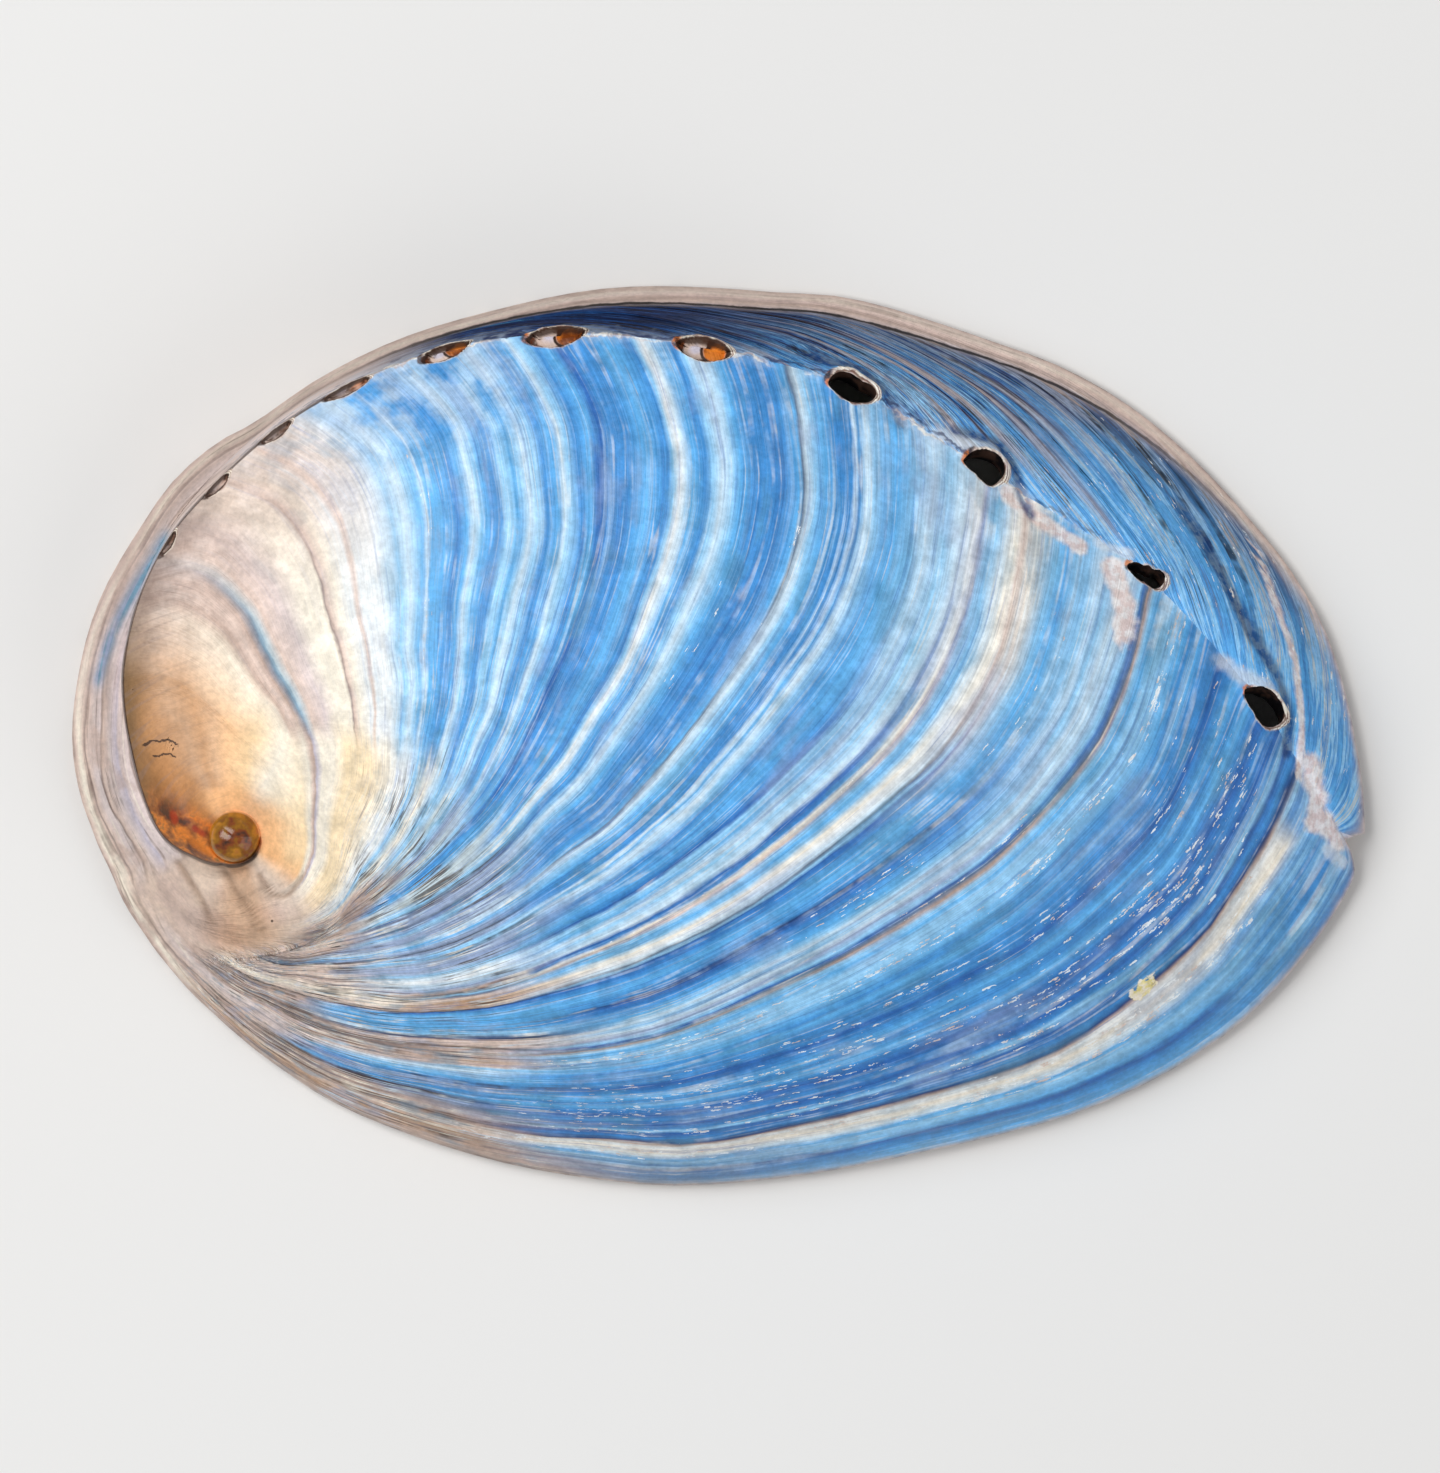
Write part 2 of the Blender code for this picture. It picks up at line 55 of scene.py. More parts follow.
# Margin of the shell: bearing, radius from the spire.
MARGIN = [
    (0.0, 84.7), (2, 84.65), (6, 84.15), (10, 83.4), (14, 81.7), (18, 79.3), (22, 76.9), (26, 74.2),
    (30, 70.9), (33, 68.0), (36, 65.4), (42, 60.6), (45, 57.7), (48, 55.3), (56, 49.6), (64, 43.9),
    (72, 39.2), (80, 34.8), (88, 30.9), (92, 29.8), (100, 27.1), (108, 24.0), (120, 20.5), (136, 16.6),
    (150, 14.2), (165, 12.1), (180, 10.6), (200, 9.7), (220, 9.85), (240, 10.8), (260, 13.0), (270, 14.8),
    (280, 17.4), (290, 21.1), (300, 25.7), (308, 30.7), (316, 36.9), (320, 40.7), (328, 48.4),
    (335, 56.3), (338, 60.5), (342, 66.7), (346, 72.3), (350, 77.1), (354, 80.9), (357, 83.3),
    (358.2, 83.95), (359.3, 83.6), (360, 82.9),
]
# Older margins met the shoulder without today's lobe beside the notch, which dies away over these stages.
OLDER_MARGIN = [at for at in MARGIN if at[0] <= 350] + [(355, 80.4), (360, 82.9)]
LOBE_FADE = (0, 5)
# Shoulder that carries the holes, from the notch in the margin round to the nub.
SHOULDER = [
    (0, 82.9), (7, 77.6), (16, 70.8), (26, 62.4), (36, 57.0), (46, 50.8), (57, 44.8), (66, 40.0),
    (76, 34.6), (84, 30.6), (93, 26.4), (103, 22.6), (122, 15.5), (143, 9.4), (160, 7.0), (180, 5.3),
    (210, 3.2), (240, 2.4), (270, 2.1), (360, NUB_RADIUS),
]
# How much older growth lines bunch up towards the margin: by stage, and by lag.
BUNCH_BY_STAGE = [(0, 0), (26, 0.22), (52, 0.48), (84, 0.88), (105, 0.86), (150, 1.3)]
BUNCH_BY_LAG = [(0, 0), (30, 0.02), (60, 0.3), (90, 0.58), (120, 0.9), (145, 1.0), (360, 1.0)]
WALL_CROWDING = [(0, 1.25), (60, 0.85), (240, 0.8), (270, 1.3), (300, 2.2), (330, 2.6), (360, 3.0)]
OLD_STAGE = 125.0
# Towards the nub, growth lines older than that close in by this power.
WHORL_CROWDING = 1.8
# Lag at which a growth line starts to turn from the dome's pattern to the wall's, and the reach of the turn.
WALL_TURN_LAG = 115.0
WALL_TURN_SPAN = 75.0

# Heights, millimetres above the table.
DOME_HEIGHT = 21.8
LIP_HEIGHT = 0.9
DOME_POWER = 2.1
DOME_SHARPNESS = 0.75
# Where the dome would come down to the table if the shoulder did not cut it: bearing about its centre.
DOME_REACH = [
    (-40, 48.0), (-30, 50.9), (-22, 53.6), (-14, 55.2), (-8, 55.6), (0, 54.6), (14, 51.0), (33, 47.6),
    (55, 46.8), (79, 45.8), (103, 46.8), (119, 48.2), (134, 49.4), (154, 50.4), (166, 50.2), (177, 49.2),
    (188, 47.0), (200, 43.6), (212, 41.2), (225, 39.5),
]
# Bearings over which that takes over from the margin itself, and gives way to it again.
REACH_START = (-36, -14)
REACH_END = (200, 224)
REACH_SMOOTHING = 7.0
REACH_WINDOW = 24
# Stages over which the shoulder leaves the dome for its own height.
SPIRE_TAKEOVER = (95, 130)
SPIRE_SHOULDER = [(100, 12.8), (122, 11.0), (143, 9.9), (160, 9.6), (180, 9.5), (210, 9.6),
                  (240, 9.9), (300, 10.5), (360, 10.8)]
WALL_FOOT = [(0, 0.0), (10, 0.3), (30, 1.2), (57, 2.2), (90, 2.8), (120, 3.6), (150, 4.4), (180, 5.2),
             (225, 7.0), (270, 8.8), (315, 10.2), (360, 10.8)]
FLANGE_SHARE = [(0, 0.02), (20, 0.1), (40, 0.25), (57, 0.38), (76, 0.5), (84, 0.56), (93, 0.66),
                (103, 0.8), (122, 0.92), (143, 0.94), (180, 0.95), (240, 0.96), (300, 0.975), (360, 0.98)]
NUB_BASE = 10.8
NUB_RISE = 1.25
NUB_ROUNDNESS = 0.6
# Distance over which the dome, the foot of the wall and the arched margin settle to their neighbours.
SETTLING = 4.0
# Bearings over which the whorl takes over from the dome, its rise to the shoulder and its swell.
WHORL_TAKEOVER = (60, 135)
WHORL_RISE = 1.5
WHORL_SWELL = 1.4
# The flange's slope, and the bearings past the spire over which it gives way to the apron.
FLANGE_SLOPE = 0.85
APRON_TAKEOVER = (215, 300)
# How square the wall's top is, how much more so near the notch, and the bearings where that ends.
WALL_SQUARENESS = 1.3
NEAR_SQUARENESS = 0.4
SQUARENESS_FADE = (70, 110)
# The shoulder's crest is rounded down between the dome and the wall.
CREST_DROOP = 0.4
CREST_WIDTH = 1.7
CREST_START = (0, 10)
CREST_END = (180, 320)
# The margin stands clear of the table at the spire end and at the notch.
MARGIN_ARCH = [(0, 0.8), (8, 0.5), (18, 0.0), (135, 0.0), (165, 1.1), (210, 1.1), (240, 0.0),
               (345, 0.0), (353, 0.5), (360, 0.8)]

WALL_THICKNESS = 1.3
NACRE_SMOOTHING = 6
# Plan grid on which the underside's height is worked out.
GRID_STEP = 0.25
GRID_HALF = (50.0, 36.0)
LIP_WIDTH = 1.2
LIP_CHAMFER = 0.3
# Nacre ledge inside the margin on the spire side: its width by bearing, its height, the slope past it, and
# the bearings at which it starts, is whole, fades and ends.
LEDGE_WIDTH = [(0, 0.5), (30, 2.0), (60, 4.0), (110, 6.0), (150, 5.2), (190, 3.6), (230, 2.6),
               (280, 1.5), (330, 0.5), (360, 0.5)]
LEDGE_HEIGHT = 1.6
LEDGE_SLOPE = 2.6
LEDGE_LIFT = 12.0
LEDGE_ENDS = (14.0, 80.0, 170.0, 340.0)
# Roof of the hollow inside the spire.
SPIRE_ROOF = 10.2
SPIRE_ROOF_RISE = 0.025
ROOF_ROUNDING = 7.0
LEDGE_ROUNDING = 2.5

# Open holes: stage, length, width, turn off the shoulder's line.  Sealed ones: the same, and depth.
OPEN_HOLES = [(7.1, 3.9, 2.3, 15), (16.0, 3.3, 1.5, 15), (26.1, 3.3, 2.4, 0), (36.0, 3.9, 2.3, 9)]
SEALED_HOLES = [(46.2, 4.1, 2.1, 0, 0.7), (57.4, 4.4, 1.9, 9, 0.6), (66.6, 3.8, 1.5, 10, 0.55)]
HOLE_DEPTH = 9.0
HOLE_LEAN = 0.45
HOLE_SIDES = 72
# Levels of a hole's cutter along its axis, with how much wider the hole is there.
HOLE_LEVELS = [
    (-HOLE_DEPTH / 2, 1.3), (-1.4, 1.12), (-0.5, 0.96), (0.15, 1.0), (1.2, 1.06), (HOLE_DEPTH / 2, 1.1),
]
# Older sealed holes, worn to small marks on the edge.
OLD_HOLES = [
    (76.0, 3.7, 0.9, 0, 0.35), (84.2, 2.7, 0.9, 0, 0.35), (93.0, 2.4, 0.8, 0, 0.3),
    (103.0, 2.0, 0.7, 0, 0.25),
]
# Ragged outlines of the open holes: millimetres towards the spire, and inwards across the hole.
HOLE_OUTLINES = [
    [(2.1, -0.1), (1.4, -0.7), (0.5, -1.05), (-0.5, -1.05), (-1.3, -0.8), (-1.75, -0.45), (-1.8, 0.15),
     (-1.3, 0.8), (-0.7, 1.1), (-0.1, 1.0), (0.6, 0.65), (1.4, 0.4)],
    [(1.65, 0.0), (1.1, -0.5), (0.4, -0.48), (-0.3, -0.5), (-1.0, -0.68), (-1.4, -0.42), (-1.55, 0.15),
     (-1.1, 0.52), (-0.6, 0.55), (-0.1, 0.42), (0.4, 0.5), (1.0, 0.33)],
    [(1.7, 0.3), (1.4, -0.4), (0.8, -1.0), (0.1, -1.25), (-0.6, -1.3), (-1.2, -1.0), (-1.5, -0.5),
     (-1.4, 0.25), (-1.1, 0.8), (-0.3, 0.8), (0.4, 0.55), (1.0, 0.55)],
    [(1.85, 0.1), (1.5, -0.6), (1.05, -1.05), (0.4, -1.15), (-0.2, -0.95), (-0.7, -0.68), (-1.5, -0.55),
     (-2.0, 0.0), (-1.65, 0.6), (-1.0, 0.9), (-0.3, 1.1), (0.5, 0.95), (1.1, 0.65)],
]
# Power of the sealed holes' outline: 2 would be an ellipse, and less is more pointed.
SEALED_POINT = 1.65

# Rims of the holes, in millimetres: how high the lip stands, how much more the lip and the mound behind it
# stand on the outer side, and how far the mound reaches.
RIM_HEIGHT = 0.16
OUTER_LIP = 0.1
OUTER_MOUND = 0.3
MOUND_REACH = 1.3
RAGGEDNESS = 0.14
# Lumps on the floor of a sealed hole, in shares of its length and width: place, size.  They fill this share.
PLUG_LUMPS = [(0.13, 0.0, 0.035), (-0.2, 0.1, 0.03)]
PLUG_SHARE = 0.3
# Fills of the sealed holes, in shares of the half length and half width: middle and half size.
LILAC_DISC = ((0.24, -0.28), (0.44, 0.86))
ORANGE_DISC = ((-0.45, -0.10), (0.46, 0.70))

# Fine mesh.
RINGS = 470
COLUMNS = 166
NUB_RINGS = 9
LIP_RINGS = 5
BOWL_RINGS = 54
BOWL_SAMPLES = 160
BOWL_SPREAD = 1.15
# Columns stand closer beside the shoulder: base, extra on its inner and outer side, and the extra's reach.
COLUMN_BASE = 12.0
COLUMN_EXTRA = (640.0, 760.0)
COLUMN_REACH = 2.6
STAGE_BASE = 0.035
# Least turn between neighbouring rim points, and least share of an even gap between the bowl's spokes.
LEAST_TURN = 1e-5
LEAST_GAP = 0.35
SHARP_ANGLE = 48
SEED = 11
NOISE_CELLS = 160

# Growth lines sweep inwards below the spire: how far back the colours are read, by lag.
SWEEP = [(0, 0.0), (85, 0.0), (100, 0.9), (110, 2.2), (120, 5.3), (130, 10.4), (140, 19.0), (150, 28.4),
         (160, 34.0), (175, 43.0), (360, 43.0)]
SWEEP_END = (46, 56)
# On the wall the lines slant back: millimetres of age for each degree of lag from the shoulder.
WALL_SLANT = 0.14
# How far the lines swing in beside the holes, in millimetres: at which lag, and over how many degrees.
SWING = 0.9
SWING_LAG = 10.0
SWING_REACH = 9.0
# Noises of the growth lines' course and of their ridges: size, cells in age and in lag, seed.
WIGGLES = [(0.42, 9.0, 17.0, 1), (0.16, 4.0, 6.0, 2)]
FINE_RIDGES = [(0.030, 0.33, 9.0, 3), (0.035, 0.62, 13.0, 4), (0.055, 1.3, 22.0, 5), (0.06, 3.1, 34.0, 6)]
STRIP_RIDGES = [(0.05, 0.42, 26.0, 12), (0.05, 1.1, 40.0, 13), (0.05, 2.6, 18.0, 14)]
# Growth checks, where the shell stopped and started again: age in millimetres, step height, width.
CHECKS = [
    (1.6, 0.05, 0.6), (2.85, 0.26, 1.6), (4.3, 0.06, 0.7), (6.3, 0.07, 0.8), (8.0, 0.10, 0.9),
    (9.7, 0.05, 0.6), (11.6, 0.18, 1.0), (12.7, 0.08, 0.6), (15.5, 0.07, 0.9), (18.1, 0.16, 1.2),
    (20.5, 0.10, 0.7), (22.3, 0.10, 0.6), (23.4, 0.14, 1.0), (25.7, 0.08, 0.8), (27.3, 0.12, 0.9),
    (29.2, 0.08, 0.8), (32.2, 0.07, 0.8), (35.1, 0.09, 1.0), (38.4, 0.05, 0.9), (40.6, 0.07, 0.8),
    (43.2, 0.05, 0.6), (45.9, 0.05, 0.8), (48.4, 0.04, 0.7), (53.8, 0.05, 0.7), (56.2, 0.06, 0.6),
    (61.4, 0.07, 0.8), (66.0, 0.04, 0.6),
]
# Over what distance a check's step starts, and the low lip on the old edge beside it: its share of the step
# and its width.
STEP_START = 0.22
STEP_LIP = 0.25
STEP_LIP_WIDTH = 0.35

# Lines of small white flakes: age, half width, first and last lag, how thick.
FLAKES = [
    (2.0, 0.16, 8, 58, 0.8), (2.45, 0.18, 8, 54, 0.9), (3.75, 0.15, 20, 48, 0.7), (4.5, 0.3, 6, 20, 0.7),
    (5.3, 0.35, 3, 46, 0.75), (6.5, 0.25, 26, 50, 0.6), (7.5, 0.2, 8, 16, 0.7), (8.2, 0.25, 22, 30, 0.6),
    (9.9, 0.22, 1, 30, 1.0), (10.5, 0.3, 30, 50, 0.5), (12.0, 0.2, 16, 24, 0.5), (16.0, 0.6, 8, 13, 0.3),
    (14.4, 0.6, 22, 27, 0.25), (28.9, 0.15, 12, 16, 0.6), (20.6, 0.12, 18, 44, 0.3),
    (31.7, 0.3, 20, 25, 0.25), (48.5, 0.2, 12, 34, 0.25),
]

# Local marks in plan: half width, then points along them, all in millimetres.
MARKS = {
    "pink": [
        (1.0, [(29.2, 12.6), (30.4, 9.8), (30.0, 7.4)]), (0.7, [(21.4, 18.2), (24.0, 16.2), (27.0, 14.2)]),
        (0.9, [(44.2, -1.9), (44.9, -4.4), (44.6, -6.6)]), (0.8, [(46.4, -8.0), (45.4, -6.4)]),
        (0.35, [(40.2, 14.0), (41.7, 9.9), (43.1, 5.7), (43.6, 0.4), (43.3, -3.0)]),
    ],
    "shade": [
        (0.6, [(34.4, 17.6), (37.0, 13.6), (39.6, 8.4), (41.8, 4.6), (42.5, 1.4), (42.6, -1.2)]),
        (0.5, [(17.5, 22.9), (20.8, 21.9), (21.9, 20.2), (22.6, 18.0), (23.3, 16.6)]),
        (0.5, [(6.6, 28.8), (8.2, 27.9), (9.9, 27.6), (11.8, 26.4), (12.9, 24.8), (13.6, 23.4)]),
    ],
    "pale": [
        (0.9, [(37.4, 5.6), (39.4, 4.3), (40.6, 3.8)]), (0.8, [(16.5, 22.6), (18.6, 21.9), (20.2, 21.3)]),
        (0.6, [(45.6, -8.6), (46.6, -9.4)]), (0.6, [(28.4, 14.4), (30.4, 13.6)]),
    ],
    "blue": [(0.5, [(-41.6, 14.9), (-43.3, 12.0), (-44.8, 9.3), (-46.1, 6.2), (-46.7, 4.2)])],
    "fold": [
        (0.3, [(-40.6, -9.5), (-39.9, -10.6), (-38.8, -12.4), (-38.2, -13.9)]),
        (0.3, [(-37.3, -9.8), (-36.4, -11.4), (-35.1, -13.2), (-34.5, -14.4)]),
        (0.22, [(-34.5, -10.4), (-33.5, -11.9), (-32.4, -12.0), (-31.2, -10.4)]),
    ],
    "lemon": [(0.8, [(31.3, -19.2), (32.5, -18.3)])],
    "rust": [(0.38, [(-40.9, -5.8), (-40.8, -6.3)]), (0.3, [(-39.3, -6.9), (-38.6, -7.3)])],
    "orange": [(0.5, [(-39.5, -7.8), (-38.5, -8.5), (-37.4, -8.9)]), (0.4, [(-40.2, -6.9), (-39.8, -7.3)])],
}
# How far some of them stand up or are sunk in.
MARK_HEIGHT = {"pale": 0.12, "shade": -0.22, "fold": -0.16}
# Hairline cracks in the old whorl: first and last x, middle y, how far they arch, half width.
CRACKS = [(-43.3, -40.4, -0.75, 0.42, 0.06), (-42.5, -40.6, -1.5, 0.12, 0.05)]
# Pinhole below the nub: its place and its radius.
PIT = (-33.5, -13.8, 0.13)


def eased(x, knots):
    """Smooth curve through the knots that never overshoots them."""
    px = np.array([knot[0] for knot in knots], float)
    py = np.array([knot[1] for knot in knots], float)
    gap = np.diff(px)
    slope = np.diff(py) / gap
    before, after = slope[:-1], slope[1:]
    turn = np.zeros(len(px))
    turn[0], turn[-1] = slope[0], slope[-1]
    agree = before * after > 0
    total = np.where(agree, before + after, 1.0)
    turn[1:-1] = np.where(agree, 2 * before * after / total, 0.0)
    x = np.clip(x, px[0], px[-1])
    i = np.clip(np.searchsorted(px, x, side="right") - 1, 0, len(px) - 2)
    t = (x - px[i]) / gap[i]
    start = (1 + 2 * t) * (1 - t) ** 2 * py[i] + t * (1 - t) ** 2 * gap[i] * turn[i]
    return start + t * t * (3 - 2 * t) * py[i + 1] + t * t * (t - 1) * gap[i] * turn[i + 1]


def fade(start, end, x):
    t = np.clip((x - start) / (end - start), 0, 1)
    return t * t * (3 - 2 * t)


def window(x, start, full, fading, end):
    """0 up to start, 1 from full to fading, and 0 again from end on."""
    return fade(start, full, x) * (1 - fade(fading, end, x))


def bell(x, middle, width):
    return np.exp(-((x - middle) / width) ** 2)


def eased_radius(x, knots):
    return np.exp(eased(x, [(at, np.log(radius)) for at, radius in knots]))


def margin_radius(bearing):
    return eased_radius(np.mod(bearing, 360.0), MARGIN)


def shoulder_radius(stage):
    return eased_radius(stage, SHOULDER)


def young_radius(stage, lag):
    """Radius of a growth line no older than OLD_STAGE."""
    notch = SHOULDER[0][1]
    lip = eased_radius(360.0 - lag, MARGIN) / notch
    lip = lip + (eased_radius(360.0 - lag, OLDER_MARGIN) / notch - lip) * fade(*LOBE_FADE, stage)
    bunch = eased(stage, BUNCH_BY_STAGE) * eased(lag, BUNCH_BY_LAG)
    over_dome = np.log(shoulder_radius(stage) * lip) + bunch
    bearing = np.clip(stage + 360 - lag, 1e-3, 359.999)
    share = np.clip(1 - stage / bearing, 0, 1) ** eased(bearing, WALL_CROWDING)
    inner = np.log(shoulder_radius(bearing))
    down_wall = inner + (np.log(margin_radius(bearing)) - inner) * share
    start = np.maximum(WALL_TURN_LAG, stage)
    weight = fade(start, start + WALL_TURN_SPAN, lag)
    return np.exp(over_dome + (down_wall - over_dome) * weight)


def line_radius(stage, lag):
    """Radius from the spire of a growth line."""
    stage, lag = np.broadcast_arrays(np.asarray(stage, float), np.asarray(lag, float))
    bearing = stage - lag
    young = young_radius(np.minimum(stage, OLD_STAGE), np.where(stage > OLD_STAGE, OLD_STAGE - bearing, lag))
    edge = shoulder_radius(np.maximum(bearing, OLD_STAGE))
    outer = np.where(bearing < OLD_STAGE, young_radius(np.full(stage.shape, OLD_STAGE),
                                                       np.clip(OLD_STAGE - bearing, 0, 360)), edge)
    last = np.where(bearing >= 0, 360.0, bearing + 360)
    inner = np.where(bearing >= 0, NUB_RADIUS, shoulder_radius(last))
    left = np.clip((last - stage) / np.maximum(last - np.maximum(OLD_STAGE, bearing), 1e-6), 0, 1)
    return np.where(stage <= OLD_STAGE, young, inner + (outer - inner) * left ** WHORL_CROWDING)


def polar(x, y, centre):
    """Distance from a centre, and bearing about it in degrees."""
    x, y = x - centre[0], y - centre[1]
    return np.hypot(x, y), np.mod(np.degrees(np.arctan2(y, x)), 360)


def spot(radius, bearing):
    """Plan position of a point given about the spire."""
    turn = np.radians(bearing)
    return SPIRE[0] + radius * np.cos(turn), SPIRE[1] + radius * np.sin(turn)


def dome_reach():
    """Distance from the dome's centre to where the dome meets the table, for each degree round it."""
    bearing = np.linspace(0, 360, 1441)
    x, y = spot(margin_radius(bearing), bearing)
    away, around = polar(x, y, DOME_CENTRE)
    order = np.argsort(around)
    degree = np.arange(360.0)
    margin = np.interp(degree, around[order], away[order], period=360)
    signed = np.where(degree > 300, degree - 360, degree)
    virtual = eased(signed, DOME_REACH)
    share = np.where(degree > 300, fade(*REACH_START, signed), 1 - fade(*REACH_END, degree))
    reach = margin + (virtual - margin) * share
    spread = np.arange(-REACH_WINDOW, REACH_WINDOW + 1)
    weight = np.exp(-(spread / REACH_SMOOTHING) ** 2)
    wrapped = np.concatenate([reach[-REACH_WINDOW:], reach, reach[:REACH_WINDOW]])
    return np.convolve(wrapped, weight / weight.sum(), mode="valid")


DOME_EDGE = dome_reach()


def dome(x, y):
    away, around = polar(x, y, DOME_CENTRE)
    out = away / np.interp(around, np.arange(360.0), DOME_EDGE, period=360)
    return DOME_HEIGHT * np.clip(1 - out ** DOME_POWER, 0, 1) ** DOME_SHARPNESS


def shoulder_height(stage):
    """Height of the shoulder over the lip: it follows the dome, then levels off round the spire."""
    x, y = spot(shoulder_radius(stage), stage)
    return dome(x, y) + (eased(stage, SPIRE_SHOULDER) - dome(x, y)) * fade(*SPIRE_TAKEOVER, stage)


def outer_height(radius, bearing):
    """Height of the outer surface.  Bearings below 0 are outside the shoulder, the rest inside it."""
    radius, bearing = np.broadcast_arrays(np.asarray(radius, float), np.asarray(bearing, float))
    x, y = spot(radius, bearing)
    over = dome(x, y)
    # Inside the shoulder: dome, settling to the nub's base.
    at = np.maximum(bearing, 0.0)
    base_x, base_y = spot(NUB_RADIUS, bearing)
    settle = (NUB_BASE - dome(base_x, base_y)) * np.exp(-np.maximum(radius - NUB_RADIUS, 0) / SETTLING)
    edge = shoulder_radius(at)
    share = np.clip((radius - NUB_RADIUS) / np.maximum(edge - NUB_RADIUS, 1e-3), 0, 1)
    whorl = NUB_BASE + (shoulder_height(at) - NUB_BASE) * share ** WHORL_RISE
    whorl = whorl + WHORL_SWELL * share * (1 - share)
    inside = (over + settle) * (1 - fade(*WHORL_TAKEOVER, at)) + whorl * fade(*WHORL_TAKEOVER, at)
    # Outside the shoulder: flange, then the wall or the step up to the shoulder.
    turned = np.clip(bearing + 360, 1e-3, 360)
    edge = shoulder_radius(turned)
    rim = margin_radius(np.minimum(turned, 359.999))
    up = np.clip((rim - radius) / np.maximum(rim - edge, 1e-3), 0, 1)
    flange = eased(turned, FLANGE_SHARE)
    foot = eased(turned, WALL_FOOT)
    strip = foot * np.clip(up / flange, 0, 1) ** FLANGE_SLOPE
    edge_x, edge_y = spot(edge, turned)
    hollow = (foot - dome(edge_x, edge_y)) * np.exp(-np.maximum(radius - edge, 0) / SETTLING)
    hollow = hollow * (1 - (1 - up) ** 3)
    low = strip + (over + hollow - strip) * fade(*APRON_TAKEOVER, turned)
    step = np.clip((up - flange) / (1 - flange), 0, 1)
    step = 1 - (1 - step) ** (WALL_SQUARENESS + NEAR_SQUARENESS * (1 - fade(*SQUARENESS_FADE, turned)))
    outside = low + (shoulder_height(turned) - foot) * step
    height = np.where(bearing >= 0, inside, outside)
    stage = np.where(bearing >= 0, at, turned)
    off_crest = (radius - shoulder_radius(stage)) / CREST_WIDTH
    crest = np.exp(-off_crest ** 2) * fade(*CREST_START, stage) * (1 - fade(*CREST_END, stage))
    height = height - CREST_DROOP * crest
    # Nub at the top of the spire.
    part = np.clip(radius / NUB_RADIUS, 0, 1)
    nub = NUB_BASE + NUB_RISE * (1 - part ** 2) ** NUB_ROUNDNESS
    height = np.where(radius < NUB_RADIUS, nub, height)
    arch = eased(np.mod(bearing, 360), MARGIN_ARCH)
    return height + LIP_HEIGHT + arch * np.exp(-height / SETTLING)


def height_at(x, y):
    """Height of the outer surface over a plan position, 0 beyond the margin."""
    radius, turned = polar(x, y, SPIRE)
    bearing = np.where(radius > shoulder_radius(turned), turned - 360, turned)
    return np.where(radius <= margin_radius(turned), outer_height(radius, bearing), 0.0)


def nacre_grid():
    """Heights, on a plan grid, of the surface lying one wall thickness under the outer one, smoothed."""
    x = np.arange(-GRID_HALF[0], GRID_HALF[0] + GRID_STEP, GRID_STEP)
    y = np.arange(-GRID_HALF[1], GRID_HALF[1] + GRID_STEP, GRID_STEP)
    outer = height_at(*np.meshgrid(x, y))
    reach = int(WALL_THICKNESS / GRID_STEP)
    under = outer - WALL_THICKNESS
    for i in range(-reach, reach + 1):
        for j in range(-reach, reach + 1):
            away = GRID_STEP * np.hypot(i, j)
            if away <= WALL_THICKNESS:
                drop = np.sqrt(WALL_THICKNESS ** 2 - away ** 2)
                under = np.minimum(under, np.roll(outer, (i, j), axis=(0, 1)) - drop)
    for _ in range(NACRE_SMOOTHING):
        for axis in (0, 1):
            under = (np.roll(under, 1, axis) + 2 * under + np.roll(under, -1, axis)) / 4
    return under


NACRE = nacre_grid()


def under_height(x, y):
    rows, columns = NACRE.shape
    i = np.clip((y + GRID_HALF[1]) / GRID_STEP, 0, rows - 1.001)
    j = np.clip((x + GRID_HALF[0]) / GRID_STEP, 0, columns - 1.001)
    i0, j0 = i.astype(int), j.astype(int)
    di, dj = i - i0, j - j0
    low = NACRE[i0, j0] * (1 - dj) + NACRE[i0, j0 + 1] * dj
    high = NACRE[i0 + 1, j0] * (1 - dj) + NACRE[i0 + 1, j0 + 1] * dj
    return low * (1 - di) + high * di


def bowl_height(x, y):
    """Height of the nacre bowl, with the ledge along the spire side."""
    radius, turned = polar(x, y, SPIRE)
    roof = SPIRE_ROOF + SPIRE_ROOF_RISE * radius ** 2
    height = lower_of(under_height(x, y), roof, ROOF_ROUNDING)
    inward = margin_radius(turned) - radius - LIP_WIDTH
    missing = 1 - window(turned, *LEDGE_ENDS)
    past = np.maximum(inward - eased(turned, LEDGE_WIDTH), 0)
    ledge = LEDGE_HEIGHT * fade(0, 3, inward) + LEDGE_SLOPE * past + LEDGE_LIFT * missing
    return np.maximum(lower_of(height, ledge, LEDGE_ROUNDING), 0.0)


def lower_of(a, b, rounding):
    """The lower of two surfaces, with their meeting line rounded off."""
    mix = np.clip(0.5 + 0.5 * (b - a) / rounding, 0, 1)
    return b + (a - b) * mix - rounding * mix * (1 - mix)


def inward_normals(plan):
    along = np.roll(plan, -1, axis=0) - np.roll(plan, 1, axis=0)
    # The rings run clockwise, so the inside is on the right hand.
    normal = np.stack([along[:, 1], -along[:, 0]], axis=1)
    return normal / np.linalg.norm(normal, axis=1)[:, None]


